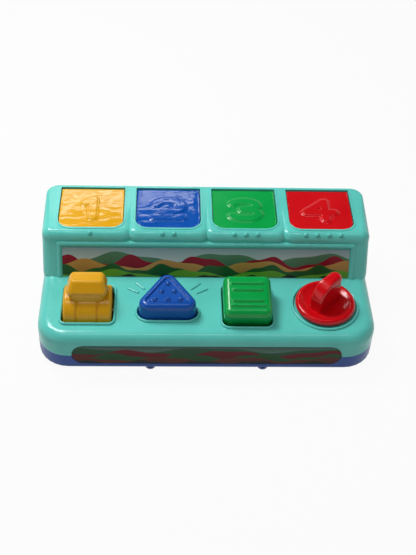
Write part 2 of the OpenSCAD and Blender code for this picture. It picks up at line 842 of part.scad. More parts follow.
module hen_figure() {
  color("peru") hang(3) {
    hull() {
      ball([0, -11, figure_base + 11], 11);
      ball([0, -9, figure_base + 17], 8);
    }
    block([-9, -4, figure_base + 1], [9, figure_back - 0.02, figure_reach - 9]);
    ball([0, -9, head_z], 6.6);
    hull() {
      ball([0, -15, head_z - 1], 2.2);
      ball([0, -18.5, head_z - 2], 0.9);
    }
    for (k = [-1, 0, 1]) ball([0, -8 - k * 2.6, head_z + 6 - abs(k) * 0.9], 1.9);
    for (s = [-1, 1]) hull() {
      ball([s * 10.4, -10, figure_base + 15], 3.4);
      ball([s * 11.4, -9, figure_base + 7], 2);
    }
  }
}

module horse_figure() {
  color("sienna") hang(4) {
    animal_body(10.6);
    hull() {
      ball([0, -8, head_z + 0.6], 6.6);
      ball([0, -15, head_z - 6], 4.6);
    }
    for (s = [-1, 1]) hull() {
      ball([s * 4.4, -6, head_z + 5], 1.8);
      ball([s * 5, -6, head_z + 7], 1);
    }
    hull() {
      ball([0, -4, head_z + 5], 2.4);
      ball([0, -2, head_z - 8], 2.4);
    }
  }
}

// ---------- latches ----------

// Height and place of each latch's front end
ramp_z = bar_z;
button_ramp_y = button_y + 11;
knob_pad_rho = 7;
knob_pad_r = 2.2;
lever_pad_r = 2;
rocker_pad_r = 2;
rocker_pad = [16, -1];
rocker_ramp_y = rocker_y + rocker_pad[0] - rocker_axis_z - rocker_pad[1]
  + (rocker_pad_r + push_gap) * sqrt(2);
bar_front = [
  well_y + lever_pad_r + push_gap,
  button_ramp_y,
  bar_z + bar_t + rocker_ramp_y,
  knob_y + 8
];
nose_h = 3;

// Bar and upright post of latch i, with the end that its control pushes
module latch(i) {
  top = hook_top_z + seat;
  color("whitesmoke") translate([station_x(i), 0, 0]) difference() {
    union() {
      block([-bar_w / 2, bar_front[i - 1], bar_z], [bar_w / 2, post_y + post_t, bar_z + bar_t]);
      block([-bar_w / 2, post_y, bar_z], [bar_w / 2, post_y + post_t, top]);
      translate([0, post_y + 1, bar_z + 1.5]) rotate([-90, 0, 0]) cylinder(r = 1.4, h = post_t + 4);
      if (i == 1)
        block([-bar_w / 2, bar_front[0], bar_z],
              [bar_w / 2, bar_front[0] + bar_t, lever_axis_z - lever_arm + 3]);
      if (i == 2) push_ramp(button_ramp_y, bar_z, bar_z + 7);
      if (i == 3) push_ramp(rocker_ramp_y + bar_z, bar_z + bar_t - 1, bar_z + 10.4);
      if (i == 4) {
        block([-knob_pad_rho - 4.6, knob_y + knob_pad_r + push_gap, bar_z],
              [-neck_r - 0.6, knob_y + 12, bar_z + bar_t]);
        block([-knob_pad_rho - 4.6, knob_y + 8, bar_z], [0, knob_y + 12, bar_z + bar_t]);
      }
    }
    if (i == 2) ramp_cut(button_ramp_y);
  }
}

// Springy catch on top of the post, which yields as the hook snaps under it
catch_leaf_t = 0.6;
module catch_nose(i) {
  low = hook_top_z + seat;
  color("whitesmoke") translate([station_x(i), 0, 0]) difference() {
    union() {
      block([-bar_w / 2, nose_y, low], [bar_w / 2, post_y + post_t, low + nose_h]);
      block([1 - bar_w / 2, post_y - catch_leaf_t, low - 8], [bar_w / 2 - 1, post_y, low + 0.5]);
    }
    // slope on which the closing hook pushes the nose back
    translate([0, nose_y, low + nose_h]) rotate([45, 0, 0])
      block([-bar_w, -3, -1.2], [bar_w, 3, 3]);
  }
}

// Wedge on a bar, whose face rises to the back at 45 degrees
module push_ramp(y0, low, high) {
  y_low = y0 + low - ramp_z;
  y_high = y0 + high - ramp_z;
  translate([-bar_w / 2, 0, 0]) rotate([90, 0, 90]) linear_extrude(bar_w)
    polygon([[y_low, low], [y_high, high], [y_high + 1.6, high], [y_high + 1.6, low]]);
}

module ramp_cut(y0) {
  translate([-bar_w, 0, 0]) rotate([90, 0, 90]) linear_extrude(2 * bar_w)
    polygon([[y0 - 5, ramp_z - 5], [y0 - 5, 40], [y0 + 40 - ramp_z, 40]]);
}

module latch_spring(i) {
  from = post_y + post_t + seat;
  color(STEEL) translate([station_x(i), from, bar_z + 1.5]) rotate([-90, 0, 0])
    coil(2.6, stop_y - seat - from, 5);
}

// ---------- controls ----------

lever_post_x = lever_well_w / 2 + bead_w + well_gap + 2.2;
rocker_post_x = rocker_w / 2 + bead_w + well_gap + 2.2;
button_spring_y = button_y - 2;
button_seat_z = deck_z - 7;
rocker_spring_x = 13;
rocker_spring_y = rocker_y + 11;
shaft_r = 5;
neck_r = 3.6;
journal_r = 3;

module lever_axle() {
  color(STEEL) translate([station_x(1), well_y, lever_axis_z])
    x_cylinder(-lever_post_x - 1.5, lever_post_x + 1.5, axle_d / 2);
}

module rocker_axle() {
  color(STEEL) translate([station_x(3), rocker_y, rocker_axis_z])
    x_cylinder(-rocker_post_x - 1.5, rocker_post_x + 1.5, axle_d / 2);
}

module pull_lever() {
  half = drum_w / 2;
  skin = 2.5;
  drum_cut = -14;
  color(YELLOW) translate([station_x(1), well_y, lever_axis_z]) difference() {
    union() {
      difference() {
        drum_body(-half, half, drum_r);
        drum_body(-half + skin, half - skin, drum_r - skin);
        block([-half - 1, -drum_r - 1, -drum_r - 1], [half + 1, drum_r + 1, drum_cut]);
        block([-bar_w / 2 - 1, 0, -drum_r - 1],
              [bar_w / 2 + 1, drum_r + 1, bar_z + bar_t + 1 - lever_axis_z]);
        for (x = [-9.4, 9.4]) difference() {
          drum_body(x - 1.5, x + 1.5, drum_r + 2);
          drum_body(x - 2, x + 2, drum_r - 1.1);
        }
      }
      for (s = [-1, 1]) translate([s * (half - skin / 2), 0, 0])
        x_cylinder(-skin / 2, skin / 2, 4.5);
      block([-3, -3, -lever_arm], [3, 1.6, drum_r - 1]);
      translate([0, 0, -lever_arm]) x_cylinder(-3, 3, lever_pad_r);
      lever_grip();
    }
    x_cylinder(-half - 1, half + 1, axle_d / 2 + run_gap);
  }
}

// Drum between two places, a little fuller at its upper back
module drum_body(x0, x1, r) {
  x_cylinder(x0, x1, r);
  translate([0, 1.2, 3.4]) x_cylinder(x0, x1, r - 1);
}

// Grip that stands on the drum, widest at its lip: y, z and half width of its edges
module lever_grip() {
  top = grip_z - lever_axis_z;
  r = 4;
  half = grip_w / 2;
  edges = [
    [14.2 - r, top - r, half - 1.2], [1.6, top - r, half - 1.2], [r - 7.9, top - 10.3, half + 1.3],
    [r - 9.2, 22, half + 0.7], [r - 9.2, 17, half - 3.6], [14.2 - r, 12, half - 1]
  ];
  hull() for (s = [-1, 1], e = edges)
    translate([s * (e[2] - r), e[0], e[1]]) sphere(r, $fn = 20);
}

module push_button() {
  top = deck_z + button_h;
  skirt_z = deck_z - collar_h - 0.4;
  inner = -wall - 1.4;
  color(BLUE) translate([station_x(2), button_y, 0]) {
    difference() {
      hull() {
        for (s = [-1, 1]) translate([s * button_spread, 0, 0]) button_corner(skirt_z, top);
        translate([0, button_rise, 0]) button_corner(skirt_z, top);
      }
      translate([0, 0, skirt_z - 1]) linear_extrude(top - skirt_z - 2) button_outline(inner);
      translate([0, 0, top - 0.8]) linear_extrude(1) button_outline(-6.7);
      translate([0, 0, top - 1.5]) linear_extrude(1) difference() {
        button_outline(-6.7);
        button_outline(-8.4);
      }
    }
    for (row = [0:2]) for (k = [0:row])
      translate([(k - row / 2) * 11.4, button_rise - 5.2 - row * 9.7, top - 1.4])
        sphere(2.8, $fn = 24);
    // flange that stops the button under the deck
    translate([0, 0, skirt_z - 1.7]) linear_extrude(1.8) difference() {
      button_outline(1.8);
      button_outline(inner);
    }
    button_stem(top);
  }
}

// Tapered corner of the button with a rounded top
module button_corner(low, top) {
  edge = 5.2;
  r = button_corner_r;
  translate([0, 0, low]) cylinder(r1 = r, r2 = r - 1.2, h = top - edge - low, $fn = 32);
  translate([0, 0, top - edge]) rotate_extrude($fn = 32) intersection() {
    translate([r - 1.2 - edge, 0]) circle(edge, $fn = 24);
    square([r, edge]);
  }
}

// Stem with the 45 degree face that pushes latch 2, and a nib for the spring
module button_stem(top) {
  lift = push_gap * sqrt(2);
  front = 9.5;
  back = 17.5;
  low = bar_z + lift - 11;
  translate([-bar_w / 2, 0, 0]) rotate([90, 0, 90]) linear_extrude(bar_w)
    polygon([[front, low + front], [back, low + back], [back, top - 3], [front, top - 3]]);
  translate([0, button_spring_y - button_y, button_seat_z - 4])
    cylinder(r = 1.7, h = top - button_seat_z + 2);
  translate([0, button_spring_y - button_y, button_seat_z])
    cylinder(r = 4, h = top - button_seat_z - 2);
}

module button_spring() {
  color(STEEL) translate([station_x(2), button_spring_y, floor_z + seat])
    coil(3.2, button_seat_z - 2 * seat - floor_z, 7);
}

module click_rocker() {
  r = 6.4;
  skin = 2.5;
  low = -5;
  shift = rocker_shift;
  x1 = rocker_w / 2;
  y1 = rocker_l / 2;
  color(GREEN) translate([station_x(3), rocker_y, rocker_axis_z]) rotate([rocker_tilt, 0, 0])
    difference() {
      union() {
        difference() {
          hull() for (x = [-x1 + r, x1 - r], y = [shift - y1 + r, shift + y1 - r]) {
            translate([x, y, rocker_h - r]) sphere(r, $fn = 20);
            translate([x, y, low]) cylinder(r = r, h = 1, $fn = 20);
          }
          block([-x1 + skin, shift - y1 + skin, low - 1], [x1 - skin, shift + y1 - skin, rocker_h - r]);
          block([-x1 + r, shift - y1 + r, low - 1], [x1 - r, shift + y1 - r, rocker_h - skin]);
          block([-bar_w / 2 - 1, shift, low - 1], [bar_w / 2 + 1, shift + y1 + 1, 3.2]);
        }
        for (rib = [[14.3, 13.4], [7, 12.2], [-5, 12.2], [-10.3, 14.2]])
          rod([-rib[1], rib[0], rocker_h - 0.7], [rib[1], rib[0], rocker_h - 0.7], 2.1);
        rocker_finger();
        translate([rocker_spring_x, 11, rocker_nib_z]) cylinder(r = 1.7, h = 8);
        translate([rocker_spring_x, 11, rocker_nib_z + 4]) cylinder(r = 4, h = rocker_h - rocker_nib_z - 6);
      }
      x_cylinder(-rocker_w, rocker_w, axle_d / 2 + run_gap);
    }
}
rocker_nib_z = -6;

// Finger with a round pad, which pushes the ramp of latch 3
module rocker_finger() {
  a = -rocker_tilt;
  y = rocker_pad[0] * cos(a) - rocker_pad[1] * sin(a);
  z = rocker_pad[0] * sin(a) + rocker_pad[1] * cos(a);
  translate([0, y, z]) x_cylinder(-4, 4, rocker_pad_r);
  block([-4, y - rocker_pad_r, z], [4, y + rocker_pad_r, rocker_h - 2]);
}

module rocker_spring() {
  z0 = floor_z + seat;
  top = rocker_axis_z + (rocker_nib_z + 4) * cos(rocker_tilt) + 7 * sin(rocker_tilt) - seat;
  color(STEEL) translate([station_x(3) + rocker_spring_x, rocker_spring_y + 0.5, z0])
    coil(3.2, top - z0 - 0.4, 6);
}

module lever_spring() {
  color(STEEL) translate([station_x(1) + 6, well_y, lever_axis_z]) rotate([0, 90, 0])
    coil(3, 13.2, 6);
}

module lid_springs() {
  color(STEEL) for (i = [1:4])
    translate([station_x(i) - spring_half + seat, hinge_y, hinge_z]) rotate([0, 90, 0])
      coil(2.1, 2 * spring_half - 2 * seat, 3);
}

// Dished disc with a rolled rim and a standing grip
module twist_knob() {
  rim_r = 3.4;
  bowl_r = knob_r - 4.8;
  base = deck_z + 1.4;
  top = deck_z + knob_h;
  color(RED) translate([station_x(4), knob_y, 0]) {
    difference() {
      union() {
        rotate_extrude($fn = 96) {
          polygon([
            [0, base], [knob_r - 1.6, base], [knob_r, base + 2],
            [knob_r, base + 3], [knob_r - rim_r, base + 5.6],
            for (k = [1:-0.12:0.28]) [bowl_r * k, base + 2.3 + 3.2 * pow(k, 3.4)],
            [0, base + 2.3]
          ]);
          translate([knob_r - rim_r, base + rim_r - 1]) circle(rim_r);
        }
        knob_fin(base, top);
      }
      translate([0, 0, base - 2]) cylinder(r = knob_r - 1, h = 2 + eps);
      translate([0, 0, base - 1]) cylinder(r = shaft_r - 0.8 + run_gap, h = 9);
    }
  }
}

// Fin, round at its far end and square at its near end, which bends back to the top
module knob_fin(base, top) {
  $fn = 24;
  r = fin_t / 2;
  far = fin_l / 2 + 1.1 - r;
  near = fin_l / 2 - 1.1;
  bend = top - 15.5;
  // height and reach of the near end, along a quarter of an ellipse
  bends = [for (a = [0:15:75]) [bend + 15.5 * sin(a), near - 10.4 * (1 - cos(a))]];
  rotate([0, 0, -fin_turn]) translate([-fin_side, 0, 0]) hull() {
    translate([0, far, 0]) pillar(r, 4, base + 1.2, top);
    for (p = bends, s = [-1, 1])
      translate([s * (r - 1.5 - max(0, p[0] - top + 4)), 1.5 - p[1], p[0]])
        cylinder(r = 1.5, h = 0.1, $fn = 12);
    for (s = [-1, 1]) {
      translate([s * (r - 1.5), 1.5 - near, base + 2.2]) cylinder(r = 1.5, h = 0.1, $fn = 12);
      translate([s * (r - 1), 1.1 - near, base + 1.2]) cylinder(r = 1.5, h = 0.1, $fn = 12);
    }
    translate([0, far + 0.4, base + 1.2]) cylinder(r = r + 0.8, h = 0.1);
  }
}

// Shaft pressed into the knob, with the arm that pushes latch 4
module knob_shaft() {
  low = floor_z + 1.5;
  step = floor_z + 13;
  color("whitesmoke") translate([station_x(4), knob_y, 0]) difference() {
    union() {
      translate([0, 0, low]) cylinder(r = journal_r, h = step - low + 1);
      translate([0, 0, step]) cylinder(r = neck_r, h = bar_z + bar_t + 4 - step);
      translate([0, 0, bar_z + bar_t + 3]) cylinder(r = shaft_r, h = deck_z + 1.1 - bar_z - bar_t - 3);
      translate([0, 0, deck_z]) cylinder(r = shaft_r - 0.8, h = 8);
      block([-knob_pad_rho, -knob_pad_r, bar_z - 1.5], [0, knob_pad_r, bar_z + bar_t + 1.5]);
      translate([-knob_pad_rho, 0, bar_z - 1.5]) cylinder(r = knob_pad_r, h = bar_t + 3);
    }
    translate([0, 0, clip_z - 0.1]) difference() {
      cylinder(r = shaft_r + 1, h = 1.4);
      translate([0, 0, -1]) cylinder(r = shaft_r - 0.9, h = 4);
    }
  }
}
clip_z = deck_under_z - 1.5;

module knob_clip() {
  color(STEEL) translate([station_x(4), knob_y, clip_z]) difference() {
    cylinder(r = 7.6, h = 1.2);
    translate([0, 0, -1]) cylinder(r = shaft_r - 0.9 + run_gap, h = 4);
    block([0, -2.6, -1], [10, 2.6, 3]);
  }
}

module knob_spring() {
  z0 = bar_z + bar_t + 2.2;
  color(STEEL) translate([station_x(4), knob_y, z0]) coil(5.9, clip_z - seat - z0, 4);
}

top_shell();
base_tray();
riser_panel();
front_panel();
pocket(1);  // pocket_1
pocket(2);  // pocket_2
pocket(3);  // pocket_3
pocket(4);  // pocket_4
feet();
housing_screws();
tray_screws();
hinge_pins();
lid(1, YELLOW);  // lid_1
lid(2, BLUE);  // lid_2
lid(3, GREEN);  // lid_3
lid(4, RED);  // lid_4
cow_figure();
pig_figure();
hen_figure();
horse_figure();
latch(1);  // latch_1
latch(2);  // latch_2
latch(3);  // latch_3
latch(4);  // latch_4
catch_nose(1);  // catch_1
catch_nose(2);  // catch_2
catch_nose(3);  // catch_3
catch_nose(4);  // catch_4
latch_spring(1);  // latch_spring_1
latch_spring(2);  // latch_spring_2
latch_spring(3);  // latch_spring_3
latch_spring(4);  // latch_spring_4
lid_springs();
pull_lever();
lever_axle();
lever_spring();
push_button();
button_spring();
click_rocker();
rocker_axle();
rocker_spring();
twist_knob();
knob_shaft();
knob_clip();
knob_spring();
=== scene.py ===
"""Looks of a pop up animal toy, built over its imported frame.

Every piece is in metres in the frame's own place. Sizes in this file are millimetres
and MM turns them to metres. +X is right, +Y is the back, +Z is up.
"""
import math

import bmesh
import bpy
import numpy as np
from bpy.props import FloatProperty, FloatVectorProperty, PointerProperty
from mathutils import Matrix


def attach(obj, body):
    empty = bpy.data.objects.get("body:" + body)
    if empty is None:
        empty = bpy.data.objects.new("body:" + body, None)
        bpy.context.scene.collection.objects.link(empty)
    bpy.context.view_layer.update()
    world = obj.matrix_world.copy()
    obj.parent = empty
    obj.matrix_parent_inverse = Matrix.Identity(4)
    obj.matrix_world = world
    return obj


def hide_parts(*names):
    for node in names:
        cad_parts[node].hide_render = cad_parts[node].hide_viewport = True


bl_info = {
    "name": "Pop up animal toy",
    "version": (1, 0, 0),
    "blender": (4, 5, 0),
    "location": "View3D > Sidebar > Pop up toy",
    "description": "Dresses a packed pop up animal toy with its plastics, prints and steel",
    "category": "Object",
}

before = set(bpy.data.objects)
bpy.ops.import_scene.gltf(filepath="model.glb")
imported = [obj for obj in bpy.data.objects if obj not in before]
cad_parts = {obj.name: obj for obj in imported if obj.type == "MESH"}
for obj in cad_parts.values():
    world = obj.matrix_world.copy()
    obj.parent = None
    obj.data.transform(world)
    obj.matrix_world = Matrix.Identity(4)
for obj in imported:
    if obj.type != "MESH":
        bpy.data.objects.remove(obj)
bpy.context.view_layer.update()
MM = 0.001

# Places that the frame was made with, in millimetres: the four stations, the deck's and
# the lids' heights, the hinge line (y, z) and the height of the lever's and rocker's axles
STATION_X = (-108.0, -36.0, 36.0, 108.0)
DECK_Z = 43.0
LID_Z = 83.0
LID_FRONT_Y = 20.25
HINGE = (72.15, 78.0)
AXLE_Z = 36.0
LEVER_Y = -40.85
BUTTON_Y = -49.65
ROCKER_Y = -42.75
KNOB_Y = -40.05

# Openings in the deck: width, depth and corner radius, or the radius alone. The button's
# corners are the arc centres of its triangle, which its opening shares
LEVER_WELL = (46.2, 45.8, 4.6)
ROCKER_WELL = (44.8, 51.8, 6.6)
ROCKER_WELL_BACK = 1.3
BUTTON_CORNERS = [(-16.7, 0.0), (16.7, 0.0), (0.0, 26.0)]
BUTTON_WELL_R = 10.6
KNOB_WELL_R = 28.8

# Round bead around each opening, and the height of the square bead in the frame
RIM_W = 2.4
RIM_RISE = 1.9
BEAD_H = 1.5

# Lids: width, depth, thickness and front corner radius; under each, the hinge barrels with
# their webs, and the hook that the latch holds
LID_W = 60.0
LID_D = 55.5
LID_T = 2.5
LID_CORNER = 11.0
BARREL_X = (5.0, 29.6)
BARREL_R = 3.0
WEB_Y = (69.4, 75.5)
WEB_Z = (78.0, 80.9)
HOOK_HALF = 5
HOOK_Y = (22, 24, 25.8)
HOOK_Z = (70.2, 73.2, 80.9)

# Lever: the drum's half width, radius, wall, shoulder and the height of its cut edge over
# the axle; the grip's top over the axle, edge radius, backward lean over the lip, and back
DRUM_HALF = 21.7
DRUM_R = 21.0
DRUM_WALL = 2.5
DRUM_SHOULDER = 2.6
DRUM_CUT = -13.8
GRIP_TOP = 37.4
GRIP_EDGE = 4.2
GRIP_LEAN = 0.9
GRIP_BACK = 14.2

# Button: top, corner and edge radius, drop of its field; dots with their spacing and radius
BUTTON_TOP = DECK_Z + 16.5
BUTTON_R = 10.0
BUTTON_EDGE = 5.2
FIELD_DROP = 0.8
DOT_SPACING = (11.4, 9.7)
DOT_R = 2.8

# Rocker: width, depth, corner and edge radius, top over the axle, tilt at rest, and the ribs
ROCKER_W = 43.6
ROCKER_D = 45.0
ROCKER_R = 6.4
ROCKER_TOP = 26.6
ROCKER_MIDDLE = 2.4
ROCKER_TILT = 9.0
RIBS = [(14.3, 13.4), (7.0, 12.2), (-5.0, 12.2), (-10.3, 14.2)]
RIB_R = 2.2

# Knob: underside, rim (path radius and tube radius), dish; the fin's top, turn and sideways place
KNOB_BASE = DECK_Z + 1.4
KNOB_RIM = (24.1, 3.4)
KNOB_DISH_R = 22.5
FIN_TOP = DECK_Z + 32.4
FIN_BEND = DECK_Z + 14
FIN_EDGE = 4.2
FIN_HALF = 6.3
FIN_TURN = -46
FIN_SIDE = 0.8


def paint(code):
    """sRGB hex to a linear colour with alpha 1."""
    c = np.array([int(code[k:k + 2], 16) for k in (1, 3, 5)]) / 255
    lin = np.where(c <= 0.04045, c / 12.92, ((c + 0.055) / 1.055) ** 2.4)
    return (*lin.tolist(), 1.0)


def swatch(label, code, text):
    """A colour in the panel, from its sRGB hex value."""
    return FloatVectorProperty(name=label, description=text, subtype="COLOR", size=4,
                               min=0, max=1, default=paint(code))


def length(label, value, text):
    """A length in the panel, from millimetres."""
    return FloatProperty(name=label, description=text, default=value * MM, min=0,
                         subtype="DISTANCE", unit="LENGTH", precision=5)


class TOY_PG_colours(bpy.types.PropertyGroup):
    """Colours of the moulded plastics"""
    shell: swatch("Shell", "#60CBC0", "Case and its rims")
    tray: swatch("Tray", "#0F4A9C", "Tray under the case")
    yellow: swatch("Yellow", "#DFA314", "First lid and the lever")
    blue: swatch("Blue", "#0C4FA8", "Second lid and the button")
    green: swatch("Green", "#00A046", "Third lid and the rocker")
    red: swatch("Red", "#CF0612", "Fourth lid and the knob")
    white: swatch("White", "#EDEBE4", "Latches, compartments and shaft")


class TOY_PG_sizes(bpy.types.PropertyGroup):
    """Sizes of the surface detail"""
    peel: length("Orange peel", 6.0, "Width of the ripples on a glossy moulding")
    grain: length("Grain", 0.9, "Width of the fine grain on the painted animals")
    lid_round: length("Lid edge", 0.8, "Rounding of a lid's edges")
    digit_rise: length("Number height", 1.2, "Height of the raised numbers")


# ---------- surfaces ----------

def lattice(rows, cols, wrap_rows=False, wrap_cols=False):
    """Quads between neighbouring points of a rows by cols grid; a wrapped side meets its start."""
    index = np.arange(rows * cols).reshape(rows, cols)
    if wrap_rows:
        index = np.vstack([index, index[:1]])
    if wrap_cols:
        index = np.hstack([index, index[:, :1]])
    corners = (index[:-1, :-1], index[:-1, 1:], index[1:, 1:], index[1:, :-1])
    return np.stack(corners, -1).reshape(-1, 4)


def patch(points, wrap_rows=False, wrap_cols=False):
    """A grid of points in millimetres as vertices and quads."""
    rows, cols = points.shape[:2]
    return points.reshape(-1, 3), lattice(rows, cols, wrap_rows, wrap_cols)


def mesh_object(name, patches, crease=38.0, weld=True):
    """One mesh from several patches, with doubles merged, normals outwards and smooth faces."""
    verts = np.vstack([p for p, _ in patches]) * MM
    starts = np.cumsum([0] + [len(p) for p, _ in patches[:-1]])
    faces = np.vstack([f + s for (_, f), s in zip(patches, starts)])
    mesh = bpy.data.meshes.new(name)
    mesh.vertices.add(len(verts))
    mesh.vertices.foreach_set("co", verts.astype(np.float32).ravel())
    mesh.loops.add(faces.size)
    mesh.loops.foreach_set("vertex_index", faces.astype(np.int32).ravel())
    mesh.polygons.add(len(faces))
    mesh.polygons.foreach_set("loop_start", np.arange(0, faces.size, 4, dtype=np.int32))
    mesh.update(calc_edges=True)
    mesh.validate()
    if weld:
        bm = bmesh.new()
        bm.from_mesh(mesh)
        bmesh.ops.remove_doubles(bm, verts=bm.verts, dist=4e-6)
        bmesh.ops.recalc_face_normals(bm, faces=bm.faces)
        bm.to_mesh(mesh)
        bm.free()
    soften(mesh, crease)
    obj = bpy.data.objects.new(name, mesh)
    bpy.context.scene.collection.objects.link(obj)
    return obj


def soften(mesh, crease):
    """Smooth faces, with edges over the crease angle kept sharp."""
    mesh.polygons.foreach_set("use_smooth", np.ones(len(mesh.polygons), bool))
    mesh.set_sharp_from_angle(angle=math.radians(crease))


def dress(obj, body, material, slot, *nodes):
    """Gives a piece its material, the body that carries it and the nodes that it stands for."""
    obj.data.materials.clear()
    obj.data.materials.append(material)
    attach(obj, body)
    if nodes:
        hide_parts(*nodes)
    return obj


def coat(node, finish):
    """Gives a CAD node that shows as it is its finish."""
    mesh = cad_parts[node].data
    mesh.materials.clear()
    mesh.materials.append(materials()[finish])


def copy_of(node, name, crease):
    """A welded copy of a CAD node's mesh with smooth faces, its flat faces kept flat."""
    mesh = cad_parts[node].data.copy()
    mesh.name = name
    bm = bmesh.new()
    bm.from_mesh(mesh)
    bmesh.ops.remove_doubles(bm, verts=bm.verts, dist=2e-6)
    bm.to_mesh(mesh)
    bm.free()
    if mesh.attributes.get("custom_normal"):
        mesh.attributes.remove(mesh.attributes["custom_normal"])
    soften(mesh, crease)
    obj = bpy.data.objects.new(name, mesh)
    bpy.context.scene.collection.objects.link(obj)
    weigh = obj.modifiers.new("flat faces stay flat", "WEIGHTED_NORMAL")
    weigh.keep_sharp = True
    weigh.weight = 80
    return obj


def thicken(obj, thickness):
    """Wall behind an open skin."""
    wall = obj.modifiers.new("wall", "SOLIDIFY")
    wall.thickness = thickness * MM
    wall.offset = -1
    return obj


def outline(corners, radius, arc=14, straight=30):
    """Base points and outward normals around a convex outline with round corners.

    corners are the arc centres, anticlockwise. A point is its base point plus the radius
    times its normal; the base runs along the polygon of centres and turns at each corner.
    """
    c = np.array(corners, float)
    along = np.roll(c, -1, 0) - c
    heading = np.arctan2(along[:, 1], along[:, 0])
    before = np.roll(heading, 1)
    turn = np.mod(heading - before, 2 * np.pi)
    t = np.linspace(0, 1, arc)
    angle = before[:, None] - np.pi / 2 + turn[:, None] * t
    arcs = np.repeat(c[:, None], arc, 1)
    s = np.linspace(0, 1, straight + 2)[1:-1]
    lines = c[:, None] + along[:, None] * s[:, None]
    flat = np.repeat((heading - np.pi / 2)[:, None], straight, 1)
    base = np.concatenate([arcs, lines], 1).reshape(-1, 2)
    angle = np.concatenate([angle, flat], 1).reshape(-1)
    normal = np.stack([np.cos(angle), np.sin(angle)], 1)
    middle = c.mean(0)
    across = np.abs(((middle - c) * np.stack([-along[:, 1], along[:, 0]], 1)).sum(1))
    inner = (across / np.hypot(along[:, 0], along[:, 1])).min()
    return base, normal, radius, middle, inner


def inset(shape, depth):
    """The outline drawn in by each depth. Past its corner radius it shrinks to its middle."""
    base, normal, radius, middle, inner = shape
    d = np.atleast_1d(depth)[:, None, None]
    left = np.clip(radius - d, 0, None)
    shrink = np.clip(1 - np.clip(d - radius, 0, None) / inner, 0, 1)
    return middle + (base - middle) * shrink + normal * left


def capped(shape, profile):
    """Skin over an outline: each row of the profile is (depth drawn in, height)."""
    profile = np.array(profile, float)
    xy = inset(shape, profile[:, 0])
    z = np.broadcast_to(profile[:, 1][:, None, None], xy.shape[:2] + (1,))
    return np.concatenate([xy, z], 2)


def quarter(depth, z, r, steps=9, start=0.0):
    """Rows of a rounded edge from (depth, z - r) up and in to (depth + r, z)."""
    a = np.linspace(start, np.pi / 2, steps)
    return np.stack([depth + r - r * np.cos(a), z - r + r * np.sin(a)], 1)


def ramp(x, low, high):
    """0 below low, 1 above high, with a smooth step between."""
    t = np.clip((x - low) / (high - low), 0, 1)
    return t * t * (3 - 2 * t)


def line_distance(xy, a, b):
    """Distance of points from the segments a to b, the least over all segments."""
    a, b = np.atleast_2d(a).astype(float), np.atleast_2d(b).astype(float)
    d = b - a
    p = xy[..., None, :] - a
    t = np.clip((p * d).sum(-1) / np.maximum((d * d).sum(-1), 1e-9), 0, 1)
    return np.sqrt(((p - t[..., None] * d) ** 2).sum(-1)).min(-1)


def tube(path, profile):
    """A closed flat path carries a profile of (outwards, up) points.

    Each profile point moves along the path's outward normal and along +Z.
    """
    ahead = np.roll(path, -1, 0) - np.roll(path, 1, 0)
    normal = np.stack([ahead[:, 1], -ahead[:, 0]], 1)
    normal /= np.linalg.norm(normal, axis=1, keepdims=True)
    profile = np.array(profile, float)
    xy = path[:, None, :2] + normal[:, None] * profile[None, :, :1]
    z = np.broadcast_to(profile[None, :, 1:], xy.shape[:2] + (1,))
    return np.concatenate([xy, z], 2)


def turned(profile, steps=160):
    """A profile of (radius, height) points turned about Z: x = r cos a, y = r sin a."""
    p = np.array(profile, float)
    a = np.linspace(0, 2 * np.pi, steps, endpoint=False)
    ring = np.stack([np.cos(a), np.sin(a)], 1)
    xy = p[:, None, :1] * ring[None]
    z = np.broadcast_to(p[:, None, 1:], xy.shape[:2] + (1,))
    return np.concatenate([xy, z], 2)


def ball(centre, radii, rows=24, cols=40):
    """Ellipsoid: latitude and longitude on a sphere, scaled by three radii."""
    v = np.linspace(-np.pi / 2, np.pi / 2, rows)[:, None]
    u = np.linspace(0, 2 * np.pi, cols, endpoint=False)[None]
    unit = np.stack([np.cos(v) * np.cos(u), np.cos(v) * np.sin(u),
                     np.sin(v) * np.ones_like(u)], -1)
    return np.array(centre, float) + unit * np.array(radii, float)


def brick(low, high, r=0.5):
    """Box with rounded edges: a round-cornered outline with a rounded top and bottom."""
    (x0, y0, z0), (x1, y1, z1) = low, high
    shape = outline([(x0 + r, y0 + r), (x1 - r, y0 + r), (x1 - r, y1 - r), (x0 + r, y1 - r)],
                    r, 6, 2)
    top = quarter(0, z1, r, 5)
    bottom = quarter(0, z0 + 2 * r, r, 5)[::-1].copy()
    bottom[:, 1] = 2 * (z0 + r) - bottom[:, 1]
    rows = np.vstack([[[1e3, z0]], bottom, top, [[1e3, z1]]])
    return capped(shape, rows)


def bar_x(x0, x1, y, z, r, steps=48):
    """Round bar along X with slightly rounded ends, centred on (y, z)."""
    e = min(0.4, r / 3)
    rows = np.vstack([[[0, x0]], [[r - e, x0]], [[r - 0.3 * e, x0 + 0.3 * e]], [[r, x0 + e]],
                      [[r, x1 - e]], [[r - 0.3 * e, x1 - 0.3 * e]], [[r - e, x1]], [[0, x1]]])
    a = np.linspace(0, 2 * np.pi, steps, endpoint=False)
    radius, x = rows[:, :1], rows[:, 1:]
    return np.stack([x * np.ones_like(a), y + radius * np.cos(a), z + radius * np.sin(a)], -1)


# ---------- materials ----------

def add(tree, kind, settings=None, **links):
    """One node with its settings and links.

    A link's key is the input's name with spaces as underscores, or n and the input's number.
    """
    node = tree.nodes.new(kind)
    for key, value in (settings or {}).items():
        if isinstance(key, str) and hasattr(node, key):
            setattr(node, key, value)
        else:
            node.inputs[key].default_value = value
    for key, source in links.items():
        name = key.replace("_", " ")
        numbered = key[0] == "n" and key[1:].isdigit()
        tree.links.new(source, node.inputs[int(key[1:]) if numbered else name])
    return node


def bare(name):
    """An empty material: its tree and its output node."""
    material = bpy.data.materials.new(name)
    material.use_nodes = True
    material.node_tree.nodes.clear()
    tree = material.node_tree
    return material, tree, tree.nodes.new("ShaderNodeOutputMaterial")


